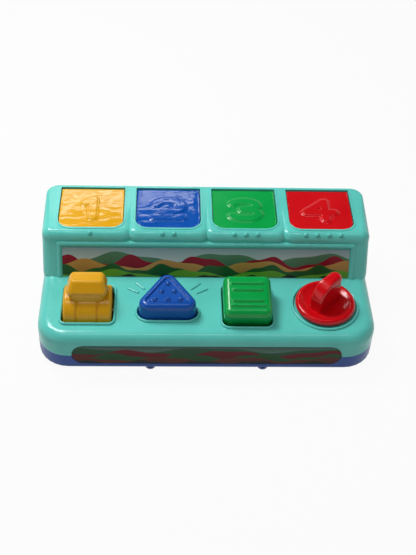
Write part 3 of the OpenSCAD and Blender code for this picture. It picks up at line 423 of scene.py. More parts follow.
def shown_rays(tree):
    """1 for rays that show a surface as it is: from the camera, in gloss and through glass."""
    seen = add(tree, "ShaderNodeLightPath")
    direct = add(tree, "ShaderNodeMath", {"operation": "MAXIMUM"}, n0=seen.outputs["Is Camera Ray"],
                 n1=seen.outputs["Is Transmission Ray"])
    return add(tree, "ShaderNodeMath", {"operation": "MAXIMUM"}, n0=direct.outputs[0],
               n1=seen.outputs["Is Glossy Ray"]).outputs[0]


def moulded_abs(name, colour, roughness, ripple, ripple_size, stretch=1.0, grain=None,
                attribute=None):
    """Injection-moulded ABS off a polished tool.

    To the eye: a deep even colour, a clear gloss with soft edges, and slow ripples
    (orange peel) that bend what it reflects. ripple is their height in millimetres, and
    stretch makes them longer across than deep. grain is (height, width) of a fine grain,
    and attribute names the mesh's own colours, where it is painted.
    """
    material, tree, out = bare(name)
    place = add(tree, "ShaderNodeTexCoord")
    flow = add(tree, "ShaderNodeTexNoise", {"Scale": 1 / (34 * MM), "Detail": 2.0},
               Vector=place.outputs["Object"])
    if attribute:
        source = add(tree, "ShaderNodeAttribute", {"attribute_name": attribute}).outputs["Color"]
        base = add(tree, "ShaderNodeMix",
                   {"data_type": "RGBA", "blend_type": "MULTIPLY", 0: 0.10},
                   n6=source, n7=flow.outputs["Color"]).outputs[2]
    else:
        # the tint drifts by a few per cent where the melt flowed
        drift = add(tree, "ShaderNodeValToRGB", {}, Fac=flow.outputs["Fac"])
        dark = [v * 0.94 for v in colour[:3]] + [1]
        light = [min(1, v * 1.05 + 0.002) for v in colour[:3]] + [1]
        for stop, place_on, tone in zip(drift.color_ramp.elements, (0.3, 0.7), (dark, light)):
            stop.position = place_on
            stop.color = tone
        base = drift.outputs["Color"]
    # handling dulls the gloss a little in broad soft patches
    marks = add(tree, "ShaderNodeTexNoise", {"Scale": 1 / (19 * MM), "Detail": 3.0},
                Vector=place.outputs["Object"])
    rough = add(tree, "ShaderNodeMapRange",
                {"From Min": 0.3, "From Max": 0.7, "To Min": roughness - 0.015,
                 "To Max": roughness + 0.02}, Value=marks.outputs["Fac"])
    wide = add(tree, "ShaderNodeMapping", {"Scale": (1, stretch, 1)},
               Vector=place.outputs["Object"])
    peel = add(tree, "ShaderNodeTexNoise", {"Scale": 1 / (ripple_size * MM), "Detail": 1.0},
               Vector=wide.outputs["Vector"])
    bump = add(tree, "ShaderNodeBump", {"Strength": 1.0, "Distance": ripple * MM},
               Height=peel.outputs["Fac"])
    normal = bump.outputs["Normal"]
    if grain:
        fine = add(tree, "ShaderNodeTexNoise", {"Scale": 1 / (grain[1] * MM), "Detail": 2.0},
                   Vector=place.outputs["Object"])
        normal = add(tree, "ShaderNodeBump", {"Strength": 1.0, "Distance": grain[0] * MM},
                     Height=fine.outputs["Fac"], Normal=normal).outputs["Normal"]
    surface = add(tree, "ShaderNodeBsdfPrincipled", {"IOR": 1.50, "Specular IOR Level": 0.38},
                  Base_Color=base, Roughness=rough.outputs["Result"], Normal=normal)
    tree.links.new(surface.outputs["BSDF"], out.inputs["Surface"])
    return material


def drawn_steel(name, tint, roughness):
    """Drawn steel, plated or bare: a grey metal with fine streaks and soft highlights."""
    material, tree, out = bare(name)
    place = add(tree, "ShaderNodeTexCoord")
    streak = add(tree, "ShaderNodeMapping", {"Scale": (1, 12, 12)},
                 Vector=place.outputs["Object"])
    noise = add(tree, "ShaderNodeTexNoise", {"Scale": 1 / (2.5 * MM), "Detail": 3.0},
                Vector=streak.outputs["Vector"])
    rough = add(tree, "ShaderNodeMapRange",
                {"To Min": roughness - 0.08, "To Max": roughness + 0.1},
                Value=noise.outputs["Fac"])
    bump = add(tree, "ShaderNodeBump", {"Strength": 1.0, "Distance": 0.004 * MM},
               Height=noise.outputs["Fac"])
    surface = add(tree, "ShaderNodeBsdfPrincipled",
                  {"Base Color": paint(tint), "Metallic": 1.0},
                  Roughness=rough.outputs["Result"], Normal=bump.outputs["Normal"])
    tree.links.new(surface.outputs["BSDF"], out.inputs["Surface"])
    return material


def printed_film(name, low, high, air, hills):
    """Printed film under a satin laminate: rolling hills in plain colours under a pale sky.

    The pattern stands on the panel. Across is X, up is the height over the panel's foot
    measured along the slope. Each hill line is a sum of two sines of X, and each hill
    covers what lies behind it. hills holds (foot, swell, wave mm, shift, colour).
    """
    material, tree, out = bare(name)
    place = add(tree, "ShaderNodeTexCoord")
    xyz = add(tree, "ShaderNodeSeparateXYZ", {}, Vector=place.outputs["Object"])
    across = xyz.outputs["X"]
    up = add(tree, "ShaderNodeMapRange",
             {"From Min": low * MM, "From Max": high * MM, "clamp": False},
             Value=xyz.outputs["Z"]).outputs["Result"]
    sky = add(tree, "ShaderNodeValToRGB", {}, Fac=up)
    sky.color_ramp.elements[0].color = paint(air[0])
    sky.color_ramp.elements[0].position = 0.35
    sky.color_ramp.elements[1].color = paint(air[1])
    colour = sky.outputs["Color"]
    for foot, swell, wave, shift, tint in hills:
        turn = 2 * math.pi / (wave * MM)
        sines = []
        for rate, start in ((turn, shift), (turn * 2.3, shift * 2 + 1)):
            angle = add(tree, "ShaderNodeMath", {"operation": "MULTIPLY_ADD", 1: rate, 2: start},
                        n0=across)
            sines.append(add(tree, "ShaderNodeMath", {"operation": "SINE"}, n0=angle.outputs[0]))
        line = add(tree, "ShaderNodeMath", {"operation": "MULTIPLY_ADD", 1: 0.35},
                   n0=sines[1].outputs[0], n2=sines[0].outputs[0])
        line = add(tree, "ShaderNodeMath", {"operation": "MULTIPLY_ADD", 1: swell, 2: foot},
                   n0=line.outputs[0])
        over = add(tree, "ShaderNodeMath", {"operation": "SUBTRACT"}, n0=line.outputs[0], n1=up)
        # ink edge about 0.3 mm wide
        edge = add(tree, "ShaderNodeMapRange", {"From Min": -0.006, "From Max": 0.006},
                   Value=over.outputs[0])
        # each hill darkens towards its foot
        depth = add(tree, "ShaderNodeMapRange",
                    {"From Min": 0.0, "From Max": 0.5, "To Min": 1.0, "To Max": 0.62},
                    Value=over.outputs[0])
        shade = add(tree, "ShaderNodeMix",
                    {"data_type": "RGBA", "blend_type": "MULTIPLY", 0: 1.0, 6: paint(tint)},
                    n7=depth.outputs["Result"])
        colour = add(tree, "ShaderNodeMix", {"data_type": "RGBA"}, n0=edge.outputs["Result"],
                     n6=colour, n7=shade.outputs[2]).outputs[2]
    # halftone dots, drawn at 0.5 mm so that they just break the flat ink up
    dots = add(tree, "ShaderNodeTexVoronoi", {"Scale": 1 / (0.5 * MM)},
               Vector=place.outputs["Object"])
    ink = add(tree, "ShaderNodeMapRange", {"To Min": 0.9, "To Max": 1.05},
              Value=dots.outputs["Distance"])
    colour = add(tree, "ShaderNodeMix", {"data_type": "RGBA", "blend_type": "MULTIPLY", 0: 1.0},
                 n6=colour, n7=ink.outputs["Result"]).outputs[2]
    # the film lies on the case in slow waves
    wave = add(tree, "ShaderNodeTexNoise", {"Scale": 1 / (25 * MM)},
               Vector=place.outputs["Object"])
    bump = add(tree, "ShaderNodeBump", {"Strength": 1.0, "Distance": 0.03 * MM},
               Height=wave.outputs["Fac"])
    surface = add(tree, "ShaderNodeBsdfPrincipled",
                  {"Roughness": 0.30, "IOR": 1.49, "Specular IOR Level": 0.16},
                  Base_Color=colour, Normal=bump.outputs["Normal"])
    tree.links.new(surface.outputs["BSDF"], out.inputs["Surface"])
    return material


MATERIALS = {}


def materials():
    """The finishes, made once from the colours and sizes in the panel."""
    if MATERIALS:
        return MATERIALS
    c = bpy.context.scene.toy_colours
    peel = bpy.context.scene.toy_sizes.peel / MM
    grain = bpy.context.scene.toy_sizes.grain / MM
    MATERIALS.update(
        shell=moulded_abs("mint_abs", c.shell, 0.19, 0.012, peel * 2),
        tray=moulded_abs("royal_blue_abs", c.tray, 0.32, 0.012, peel * 2),
        yellow=moulded_abs("yellow_abs", c.yellow, 0.20, 0.010, peel * 1.5),
        blue=moulded_abs("blue_abs", c.blue, 0.20, 0.010, peel * 1.5),
        green=moulded_abs("green_abs", c.green, 0.20, 0.010, peel * 1.5),
        red=moulded_abs("red_abs", c.red, 0.16, 0.010, peel * 1.5),
        lid_1=moulded_abs("yellow_lid_abs", c.yellow, 0.07, 0.22, peel * 2.4, stretch=2.0),
        lid_2=moulded_abs("blue_lid_abs", c.blue, 0.07, 0.22, peel * 2.4, stretch=2.0),
        lid_3=moulded_abs("green_lid_abs", c.green, 0.21, 0.06, peel * 2),
        lid_4=moulded_abs("red_lid_abs", c.red, 0.21, 0.06, peel * 2),
        white=moulded_abs("white_acetal", c.white, 0.38, 0.008, peel),
        toy=moulded_abs("painted_figure_abs", c.white, 0.34, 0.012, peel, grain=(0.002, grain),
                        attribute="Paint"),
        eye=moulded_abs("black_eye_lacquer", paint("#0C0A0A"), 0.12, 0.0, peel),
        steel=drawn_steel("zinc_plated_steel", "#B9BCC0", 0.28),
        spring=drawn_steel("spring_wire", "#A4A29C", 0.34),
        riser=printed_film("riser_print", DECK_Z + 0.5, DECK_Z + 27.5, ("#C2CDC8", "#7FA0A4"), (
            (0.66, 0.13, 95, 0.6, "#4F7B5C"), (0.52, 0.16, 63, 2.2, "#8A1226"),
            (0.42, 0.13, 81, 4.1, "#B58A4A"), (0.30, 0.11, 49, 0.4, "#1D5A2C"),
            (0.14, 0.09, 70, 3.0, "#5E9A2C"), (0.02, 0.06, 38, 1.2, "#1A2218"))),
        front=printed_film("front_print", 10.3, 32.7, ("#6F8F84", "#3F6058"), (
            (0.80, 0.12, 120, 1.6, "#27553A"), (0.62, 0.15, 88, 0.2, "#6A0F1C"),
            (0.44, 0.13, 66, 3.3, "#1F5128"), (0.26, 0.12, 74, 5.0, "#5E2A1C"),
            (0.08, 0.08, 52, 2.4, "#141F1A"))),
    )
    return MATERIALS


# ---------- case ----------

def box_corners(w, d, r, cx, cy):
    """Arc centres of a w by d rectangle with corner radius r about (cx, cy)."""
    a, b = w / 2 - r, d / 2 - r
    return [(cx - a, cy - b), (cx + a, cy - b), (cx + a, cy + b), (cx - a, cy + b)]


def well_shapes():
    """Outlines of the four control openings on the deck."""
    x1, x2, x3, x4 = STATION_X
    button = [(x2 + x, BUTTON_Y + y) for x, y in BUTTON_CORNERS]
    a = np.linspace(0, 2 * np.pi, 160, endpoint=False)
    knob = (np.zeros((160, 2)) + (x4, KNOB_Y), np.stack([np.cos(a), np.sin(a)], 1), KNOB_WELL_R,
            np.array([x4, KNOB_Y]), 1.0)
    rocker = box_corners(*ROCKER_WELL, x3, ROCKER_Y + ROCKER_WELL_BACK)
    return [
        outline(box_corners(*LEVER_WELL, x1, LEVER_Y), LEVER_WELL[2], 12, 20),
        outline(button, BUTTON_WELL_R, 24, 16),
        outline(rocker, ROCKER_WELL[2], 12, 20),
        knob,
    ]


def rim_patch(shape):
    """Round bead around an opening: half an ellipse that meets the deck in a sharp crease."""
    a = np.linspace(np.pi, 0, 17)
    half = RIM_W / 2
    crown = np.stack([half + (half - 0.01) * np.cos(a),
                      DECK_Z + 0.2 + RIM_RISE * np.sin(a) ** 0.8], 1)
    rows = np.vstack([[[0.01, DECK_Z - 0.6]], crown, [[RIM_W - 0.01, DECK_Z - 0.3]]])
    return patch(tube(inset(shape, 0)[0], rows), wrap_rows=True)


def sink_beads(obj):
    """Lowers the square beads of the copied shell to the deck, where the round ones stand."""
    mesh = obj.data
    co = np.empty(len(mesh.vertices) * 3, np.float32)
    mesh.vertices.foreach_get("co", co)
    p = co.reshape(-1, 3)
    bead = (np.abs(p[:, 2] / MM - DECK_Z - BEAD_H) < 0.02) & (p[:, 1] < -8 * MM)
    p[bead, 2] = (DECK_Z - 0.02) * MM
    mesh.vertices.foreach_set("co", co)
    mesh.update()


class TOY_OT_shell(bpy.types.Operator):
    """Case shell with the round rims of its openings"""
    bl_idname = "toy.shell"
    bl_label = "Case shell"

    def execute(self, context):
        m = materials()
        shell = copy_of("top_shell", "case_shell", 33)
        sink_beads(shell)
        dress(shell, "case", m["shell"], "teal_plastic", "top_shell")
        rims = mesh_object("control_rims", [rim_patch(s) for s in well_shapes()], 50)
        dress(rims, "case", m["shell"], "teal_plastic")
        return {"FINISHED"}


class TOY_OT_tray(bpy.types.Operator):
    """Tray and its feet"""
    bl_idname = "toy.tray"
    bl_label = "Tray and feet"

    def execute(self, context):
        m = materials()
        for node, name, crease in (("base_tray", "tray_moulding", 33), ("feet", "tray_feet", 50)):
            dress(copy_of(node, name, crease), "case", m["tray"], "blue_plastic", node)
        return {"FINISHED"}


class TOY_OT_panels(bpy.types.Operator):
    """Printed strips on the riser and on the front"""
    bl_idname = "toy.panels"
    bl_label = "Printed strips"

    def execute(self, context):
        coat("riser_panel", "riser")
        coat("front_panel", "front")
        return {"FINISHED"}


# ---------- lids ----------

def arc_line(cy, rx, ry, start, end, steps=20):
    """Points along an oval about (0, cy)."""
    a = np.radians(np.linspace(start, end, steps))
    return [(rx * math.cos(t), cy + ry * math.sin(t)) for t in a]


DIGITS = {
    1: [[(1, -12.5), (1, 12.5), (-6, 7.5)]],
    2: [arc_line(4, 12.5, 8.5, 160, -46) + [(-12.5, -12), (12.5, -12)]],
    3: [arc_line(6.2, 12, 6.3, 152, -96), arc_line(-6.2, 13, 6.4, 94, -152)],
    4: [[(5, -12.5), (5, 12.5), (-13, -3), (13, -3)]],
}


def digit_distance(number, xy):
    """Distance of points from the middle line of a number."""
    starts = [p for line in DIGITS[number] for p in line[:-1]]
    ends = [p for line in DIGITS[number] for p in line[1:]]
    return line_distance(xy, starts, ends)


def lid_plate(number, rise, e):
    """Lid as a closed pillow: rows run front to back and columns go round the section.

    Half the columns cross the top and half the underside. A row's half width follows
    the round front corners. The top carries the number: a low apron and a higher stroke,
    each a smooth step of the distance from the number's middle line. rise is the number's
    height and e the rounding of the edge. The grid is finer along the edges.
    """
    w, l, r, t = LID_W / 2, LID_D, LID_CORNER, LID_T
    fine = np.array([0, 0.02, 0.1, 0.3, 0.6, 1.0])
    y = np.concatenate([fine, np.linspace(1.4, l - 1.4, 150), (l - fine)[::-1]])
    half = w - r + np.sqrt(np.clip(r * r - np.clip(r - y, 0, None) ** 2, 0, None))
    half = np.where(y < r, half, w)
    fine = np.array([0, 0.005, 0.02, 0.045, 0.08, 0.13, 0.2, 0.3, 0.45, 0.7, 1.0])
    s = np.concatenate([fine, np.linspace(1.5, LID_W - 1.5, 150)[1:-1], (LID_W - fine)[::-1]])
    x = (s / w - 1)[None] * half[:, None]
    yy = np.broadcast_to(y[:, None], x.shape)
    px, py = np.abs(x) - (w - r), np.where(yy < r, r - yy, 0)
    side = np.where(yy < r, r - np.hypot(np.clip(px, 0, None), py), w - np.abs(x))
    side = np.minimum(side, l - yy)
    side = np.clip(np.minimum(side, yy + 10 * (py == 0)), 0, None)
    drop = e - np.sqrt(np.clip(e * e - np.clip(e - side, 0, None) ** 2, 0, None))
    # the lid's face is very slightly crowned
    crown = -0.12 * ((x / w) ** 2 + ((yy - l / 2) / l * 2) ** 2)
    d = digit_distance(number, np.stack([x, yy - l * 0.48], -1))
    relief = rise * (0.42 * (1 - ramp(d, 5.1, 6.0)) + 0.58 * (1 - ramp(d, 3.3, 4.3)))
    top = np.stack([x, yy, -drop + crown * (side > e) + relief], -1)
    under = np.stack([x, yy, -t + drop * 0.6], -1)[:, ::-1]
    ends = [np.stack([top[k], under[k][::-1]], 0) for k in (0, -1)]
    return [patch(np.concatenate([top, under], 1), wrap_cols=True), *map(patch, ends)]


def lid_fittings(x):
    """Barrels, webs and hook under the lid whose middle is at x."""
    made = []
    for s in (-1, 1):
        a, b = sorted(x + s * reach for reach in BARREL_X)
        made.append(bar_x(a, b, *HINGE, BARREL_R))
        made.append(brick((a, WEB_Y[0], WEB_Z[0]), (b, WEB_Y[1], WEB_Z[1]), 0.3))
    a, b = x - HOOK_HALF, x + HOOK_HALF
    made.append(brick((a, HOOK_Y[0], HOOK_Z[0]), (b, HOOK_Y[1], HOOK_Z[2]), 0.3))
    made.append(brick((a, HOOK_Y[0], HOOK_Z[0]), (b, HOOK_Y[2], HOOK_Z[1]), 0.4))
    return [patch(points, wrap_cols=True) for points in made]


class TOY_OT_lids(bpy.types.Operator):
    """Four numbered flap lids with their hinge barrels and hooks"""
    bl_idname = "toy.lids"
    bl_label = "Numbered lids"

    def execute(self, context):
        m = materials()
        sizes = context.scene.toy_sizes
        slots = ("yellow_plastic", "blue_plastic", "green_plastic", "red_plastic")
        for k, (x, slot) in enumerate(zip(STATION_X, slots), 1):
            plate = lid_plate(k, sizes.digit_rise / MM, sizes.lid_round / MM)
            parts = [(points + (x, LID_FRONT_Y, LID_Z), faces) for points, faces in plate]
            lid = mesh_object(f"flap_lid_{k}", parts + lid_fittings(x), 42)
            dress(lid, f"lid_body_{k}", m[f"lid_{k}"], slot, f"lid_{k}")
        return {"FINISHED"}


# ---------- animals ----------

def local_points(points, station):
    """Places in an animal's own frame: x across, y to its front, z up from the hinge."""
    p = points / MM
    return np.stack([p[:, 0] - STATION_X[station], p[:, 2] - HINGE[1], HINGE[0] - p[:, 1]], 1)


def row_point(station, x, y, z):
    """An animal's own place as a place in the frame, the way back from local_points."""
    return (STATION_X[station] + x, HINGE[0] - z, HINGE[1] + y)


def near(p, centre, radii):
    """Under 1 inside an ellipsoid."""
    return np.sqrt((((p - np.array(centre)) / np.array(radii)) ** 2).sum(1))


def cow_paint(p):
    """White with dark patches, a rosy muzzle, tan horns and pink inside the ears."""
    tint = np.full((len(p), 4), paint("#F1EBE0"))
    wobble = 0.15 * np.sin(p[:, 0] * 0.9 + 1) * np.sin(p[:, 2] * 0.7)
    for centre, radii in (((5.5, -11, 27.5), (4.6, 9, 4.2)), ((-9, -14, 17), (6, 9, 6)),
                          ((8, -20, 13), (4.5, 6, 5)), ((0, -3, 22), (14, 3, 6)),
                          ((-7, -20, 9), (3.4, 6, 3))):
        tint[near(p, centre, radii) + wobble < 1] = paint("#2A211F")
    tint[near(p, (0, -15.6, 22.6), (8.2, 5, 4.6)) < 1] = paint("#E3A38E")
    tint[(np.abs(p[:, 0]) < 7) & (p[:, 2] > 31.6)] = paint("#C9A063")
    ears = near(p, (0, -9, 28.6), (16, 2, 2.2)) < 1
    tint[ears] = paint("#F1EBE0")
    tint[ears & (np.abs(p[:, 0]) > 8.5)] = paint("#D98A86")
    return tint


def pig_paint(p):
    """Pale pink, deeper at the snout, the ears' inside and the trotters."""
    tint = np.full((len(p), 4), paint("#F0B3AE"))
    tint[near(p, (0, -18, 24.6), (4.4, 3.2, 4.4)) < 1] = paint("#DE7F86")
    tint[near(p, (0, -11, 32.5), (12, 3.2, 3)) < 1] = paint("#E08D92")
    tint[(p[:, 1] < -19) & (p[:, 2] < 12)] = paint("#B8656A")
    tint[near(p, (0, -20, 15), (6, 5, 7)) < 1] = paint("#F7CFC8")
    return tint


def hen_paint(p):
    """Golden brown with a cream breast, darker wings, a red comb and a yellow beak."""
    tint = np.full((len(p), 4), paint("#C98A3C"))
    band = np.sin(p[:, 2] * 2.2 + 2 * np.sin(p[:, 0] * 1.3))
    tint[band > 0.75] = paint("#B87431")
    tint[near(p, (0, -21, 15), (7, 6, 8)) < 1] = paint("#E9CB93")
    tint[np.abs(p[:, 0]) > 9.6] = paint("#8C4A22")
    tint[(p[:, 2] > 31.4)] = paint("#C9222B")
    tint[near(p, (0, -17.5, 24.6), (3, 4.4, 3)) < 1] = paint("#EBA92A")
    tint[near(p, (0, -15.6, 21.8), (2, 2.4, 1.6)) < 1] = paint("#C9222B")
    return tint


def horse_paint(p):
    """Chestnut with a dark mane, a pale blaze and a cream muzzle."""
    tint = np.full((len(p), 4), paint("#B07038"))
    tint[near(p, (0, -17, 19.4), (5.6, 5, 4.6)) < 1] = paint("#E1BE90")
    tint[(np.abs(p[:, 0]) < 1.5) & (p[:, 1] < -10) & (p[:, 2] > 22)] = paint("#EBD9BC")
    tint[(np.abs(p[:, 0]) < 2.9) & (p[:, 1] > -7.5) & (p[:, 2] > 18)] = paint("#4E2416")
    tint[near(p, (0, -8, 33), (3.4, 5, 3)) < 1] = paint("#4E2416")
    tint[(p[:, 1] < -19) & (p[:, 2] < 10)] = paint("#3A221A")
    return tint


# Node, its painter, and the place and radius of the eyes and of the nostrils
ANIMALS = (
    ("cow_figure", cow_paint, ((3.3, -15.2, 28.2), 1.15), ((2.4, -18.0, 23.2), 0.6)),
    ("pig_figure", pig_paint, ((3.4, -15.6, 27.6), 1.15), ((1.3, -18.4, 24.8), 0.6)),
    ("hen_figure", hen_paint, ((3.9, -13.9, 27.6), 1.15), ((0.9, -18.4, 24.9), 0.3)),
    ("horse_figure", horse_paint, ((4.6, -12.4, 26.4), 1.15), ((2.2, -18.8, 19.6), 0.6)),
)


def relaxed_figure(node, name):
    """A CAD animal with an even skin: remeshed on small voxels and smoothed, so edges melt."""
    figure = copy_of(node, name, 180)
    figure.modifiers.clear()
    remesh = figure.modifiers.new("even skin", "REMESH")
    remesh.mode = "VOXEL"
    remesh.voxel_size = 0.55 * MM
    relax = figure.modifiers.new("relax", "SMOOTH")
    relax.factor = 0.5
    relax.iterations = 8
    depsgraph = bpy.context.evaluated_depsgraph_get()
    made = bpy.data.meshes.new_from_object(figure.evaluated_get(depsgraph))
    figure.modifiers.clear()
    figure.data = made
    made.name = name
    soften(made, 180)
    return figure


def paint_figure(figure, colouring, station):
    """Colours each point of an animal by its place."""
    mesh = figure.data
    points = np.empty(len(mesh.vertices) * 3)
    mesh.vertices.foreach_get("co", points)
    tint = colouring(local_points(points.reshape(-1, 3), station))
    layer = mesh.color_attributes.new("Paint", "FLOAT_COLOR", "POINT")
    layer.data.foreach_set("color", tint.astype(np.float32).ravel())


class TOY_OT_animals(bpy.types.Operator):
    """Four painted animal figures under the lids"""
    bl_idname = "toy.animals"
    bl_label = "Animals"

    def execute(self, context):
        m = materials()
        for k, (node, colouring, eye, nostril) in enumerate(ANIMALS):
            kind = node.replace("_figure", "")
            figure = relaxed_figure(node, f"{kind}_toy")
            paint_figure(figure, colouring, k)
            dress(figure, f"lid_body_{k + 1}", m["toy"], f"{kind}_plastic", node)
            beads = [patch(ball(row_point(k, s * x, y, z), (r, r, r), 16, 24), wrap_cols=True)
                     for (x, y, z), r in (eye, nostril) for s in (-1, 1)]
            eyes = mesh_object(f"{kind}_eyes", beads, 180)
            dress(eyes, f"lid_body_{k + 1}", m["eye"], f"{kind}_plastic")
        return {"FINISHED"}


# ---------- controls ----------

def tilted(points, angle, y, z):
    """Points turned about the X axis by an angle in degrees, then moved to (y, z)."""
    c, s = math.cos(math.radians(angle)), math.sin(math.radians(angle))
    return np.stack([points[..., 0], y + points[..., 1] * c - points[..., 2] * s,
                     z + points[..., 1] * s + points[..., 2] * c], -1)


class TOY_OT_lever(bpy.types.Operator):
    """Pull lever: a ribbed drum with a standing grip"""
    bl_idname = "toy.lever"
    bl_label = "Pull lever"

    def execute(self, context):
        m = materials()
        parts = [lever_drum(), *lever_ends(), lever_handle()]
        lever = mesh_object("pull_lever_grip", parts, 40)
        dress(lever, "lever", m["yellow"], "yellow_plastic", "pull_lever")
        return {"FINISHED"}


def drum_radius(x):
    """Radius of the drum along X: rounded shoulders and two round grooves."""
    e = DRUM_SHOULDER
    over = np.clip(np.abs(x) - (DRUM_HALF - e), 0, None)
    shoulder = e - np.sqrt(np.clip(e ** 2 - over ** 2, 0, None))
    d = np.abs(np.abs(x) - 9.4)
    return DRUM_R - shoulder - 1.1 * (1 - ramp(d, 0.5, 1.7))


def drum_angles():
    """Angles around the drum, from its front edge over the top to its back edge."""
    low = math.asin(DRUM_CUT / DRUM_R)
    return np.linspace(np.pi - low, low, 110)


def drum_swell(a):
    """How much further the drum reaches at its upper back, by the angle up from the back."""
    return 2.3 * np.exp(-((a - np.radians(52)) / np.radians(30)) ** 2)


def lever_drum():
    """Arc of the drum as a wall: the outside goes over the top and the inside comes back."""
    half, e = DRUM_HALF, DRUM_SHOULDER
    x = np.concatenate([np.linspace(-half, e - half, 12)[:-1], np.linspace(e - half, half - e, 130),
                        np.linspace(half - e, half, 12)[1:]])
    a = drum_angles()
    across = x[:, None] * np.ones_like(a)
    outer = drum_radius(x)[:, None] + drum_swell(a)
    inner = DRUM_R - DRUM_WALL
    ring = np.stack([across, LEVER_Y + outer * np.cos(a), AXLE_Z + outer * np.sin(a)], -1)
    a = a[::-1] + 0 * across
    back = np.stack([0.999 * across, LEVER_Y + inner * np.cos(a), AXLE_Z + inner * np.sin(a)], -1)
    points = np.concatenate([ring, back], 1)
    points[..., 0] += STATION_X[0]
    return patch(points, wrap_cols=True)


def lever_ends():
    """Side walls of the drum: a fan from the axle to the shoulder, on both faces."""
    a = drum_angles()
    inside = DRUM_HALF - DRUM_WALL
    axle_hole = np.full_like(a, 2.0)
    shoulder = drum_radius(np.array([DRUM_HALF]))[0] + drum_swell(a)
    radius = np.array([axle_hole, axle_hole, shoulder, np.full_like(a, DRUM_R - DRUM_WALL)])
    made = []
    for s in (-1, 1):
        x = s * np.array([inside, DRUM_HALF, DRUM_HALF, inside])[:, None] + 0 * radius
        rows = np.stack([STATION_X[0] + x, LEVER_Y + radius * np.cos(a),
                         AXLE_Z + radius * np.sin(a)], -1)
        made.append(patch(rows, wrap_rows=True))
    return made


def lever_handle():
    """Grip as a stack of round-cornered rectangles, one for each height.

    From the drum the front rises almost upright to a lip, leans back from there and
    rounds over into the flat top. The back and the sides round over at the same height.
    """
    top, e, lean = GRIP_TOP, GRIP_EDGE, GRIP_LEAN
    # the front as (height, y) up to the lip, then the half width and the corner by height
    lip = np.array([[12, -9.2], [18.9, -9.2], [24, -8.9], [27.2, -8.35], [28.6, -7.95],
                    [29.4, -7.55], [30.1, -7.0]])
    width = np.array([[12, 12.2], [18.4, 12.4], [19.4, 14.0], [20.6, 15.2], [22.2, 16.2],
                      [24.4, 17.0], [26.6, 17.5], [28.8, 17.8], [30.3, 17.3], [33, 16.2],
                      [35.3, 15.6]])
    bevel = np.array([[12, 6.0], [19.4, 6.0], [27, 4.6], [33.5, 4.4]])
    lip_z, lip_y = lip[-1]
    a = np.linspace(0, np.pi / 2, 26)
    z = np.concatenate([np.linspace(12, 18, 8)[:-1], np.linspace(18, 30, 72),
                        np.linspace(30.3, top - e, 14)[:-1], top - e + e * np.sin(a)])
    over = e * (1 - np.sqrt(np.clip(1 - np.clip((z - top + e) / e, 0, 1) ** 2, 0, 1)))
    turn = math.atan(1 / lean)
    meet = top - e + e * math.cos(turn)
    ahead = lip_y + lean * (meet - lip_z) + e * math.sin(turn)
    y = np.where(z > lip_z, lip_y + lean * (z - lip_z), np.interp(z, *lip.T))
    y = np.where(z > meet, ahead - np.sqrt(np.clip(e * e - (z - top + e) ** 2, 0, None)), y)
    corner = np.clip(np.interp(z, *bevel.T) - over, 0.5, None)
    loops = []
    for level, front, back, half, r in zip(z, y, GRIP_BACK - over, np.interp(z, *width.T) - over,
                                           corner):
        shape = outline([(-half + r, front + r), (half - r, front + r), (half - r, back - r),
                         (-half + r, back - r)], r, 12, 60)
        loops.append(np.concatenate([inset(shape, 0)[0], np.full((len(shape[0]), 1), level)], 1))
    loops = np.array(loops)
    # the face under the lip is sunk by 0.8 mm inside an arch with 4.6 mm corners
    px, pz = np.abs(loops[..., 0]) - 10.3, loops[..., 2] - 24.3
    inside = np.where((px > 0) & (pz > 0), 4.6 - np.hypot(px, pz), np.minimum(4.6 - px, 4.6 - pz))
    face = loops[..., 1] < y[:, None] + 1.4
    loops[..., 1] += np.where(face, 0.8 * ramp(inside, 0.0, 0.7), 0)
    ends = [loops[k].mean(0) + 0 * loops[k] for k in (0, -1)]
    points = np.concatenate([ends[:1], loops, ends[1:]])
    return patch(points + (STATION_X[0], LEVER_Y, AXLE_Z), wrap_cols=True)


class TOY_OT_button(bpy.types.Operator):
    """Push button: a rounded triangle with a sunk field of six dots"""
    bl_idname = "toy.button"
    bl_label = "Push button"

    def execute(self, context):
        m = materials()
        cap = mesh_object("triangle_button", [button_skin()], 50)
        dress(thicken(cap, 2.2), "button", m["blue"], "blue_plastic", "push_button")
        return {"FINISHED"}


def button_skin():
    """Triangle drawn in row by row: leaning side, round edge, groove and the sunk field.

    A dot lifts the field to a sphere whose middle is 1.3 mm under the button's top.
    """
    top, field = BUTTON_TOP, BUTTON_TOP - FIELD_DROP
    shape = outline(BUTTON_CORNERS, BUTTON_R, 30, 60)
    side = [(0.0, 37.6), (0.2, 40.0), (0.5, 44.0), (0.9, 50.0)]
    groove = [(6.5, top), (6.7, top - 0.15), (6.9, top - 0.8), (7.2, top - 1.4),
              (7.7, top - 1.6), (8.2, top - 1.45), (8.55, top - 0.95), (8.9, field)]
    depth = np.linspace(9.1, BUTTON_R + shape[4], 60)
    rows = np.vstack([side, quarter(1.2, top, BUTTON_EDGE, 20)[1:], groove,
                      np.stack([depth, np.full(60, field)], 1)])
    points = capped(shape, rows)
    across, down = DOT_SPACING
    first = BUTTON_CORNERS[2][1] - 5.2
    dots = np.array([((k - row / 2) * across, first - row * down)
                     for row in range(3) for k in range(row + 1)])
    d = line_distance(points[..., :2], dots, dots)
    lifted = top + np.sqrt(np.clip(DOT_R ** 2 - d ** 2, 0, None)) - 1.3
    inside = rows[:, :1] > 8.0
    points[..., 2] = np.where(inside, np.maximum(points[..., 2], lifted), points[..., 2])
    return patch(points + (STATION_X[1], BUTTON_Y, 0), wrap_cols=True)


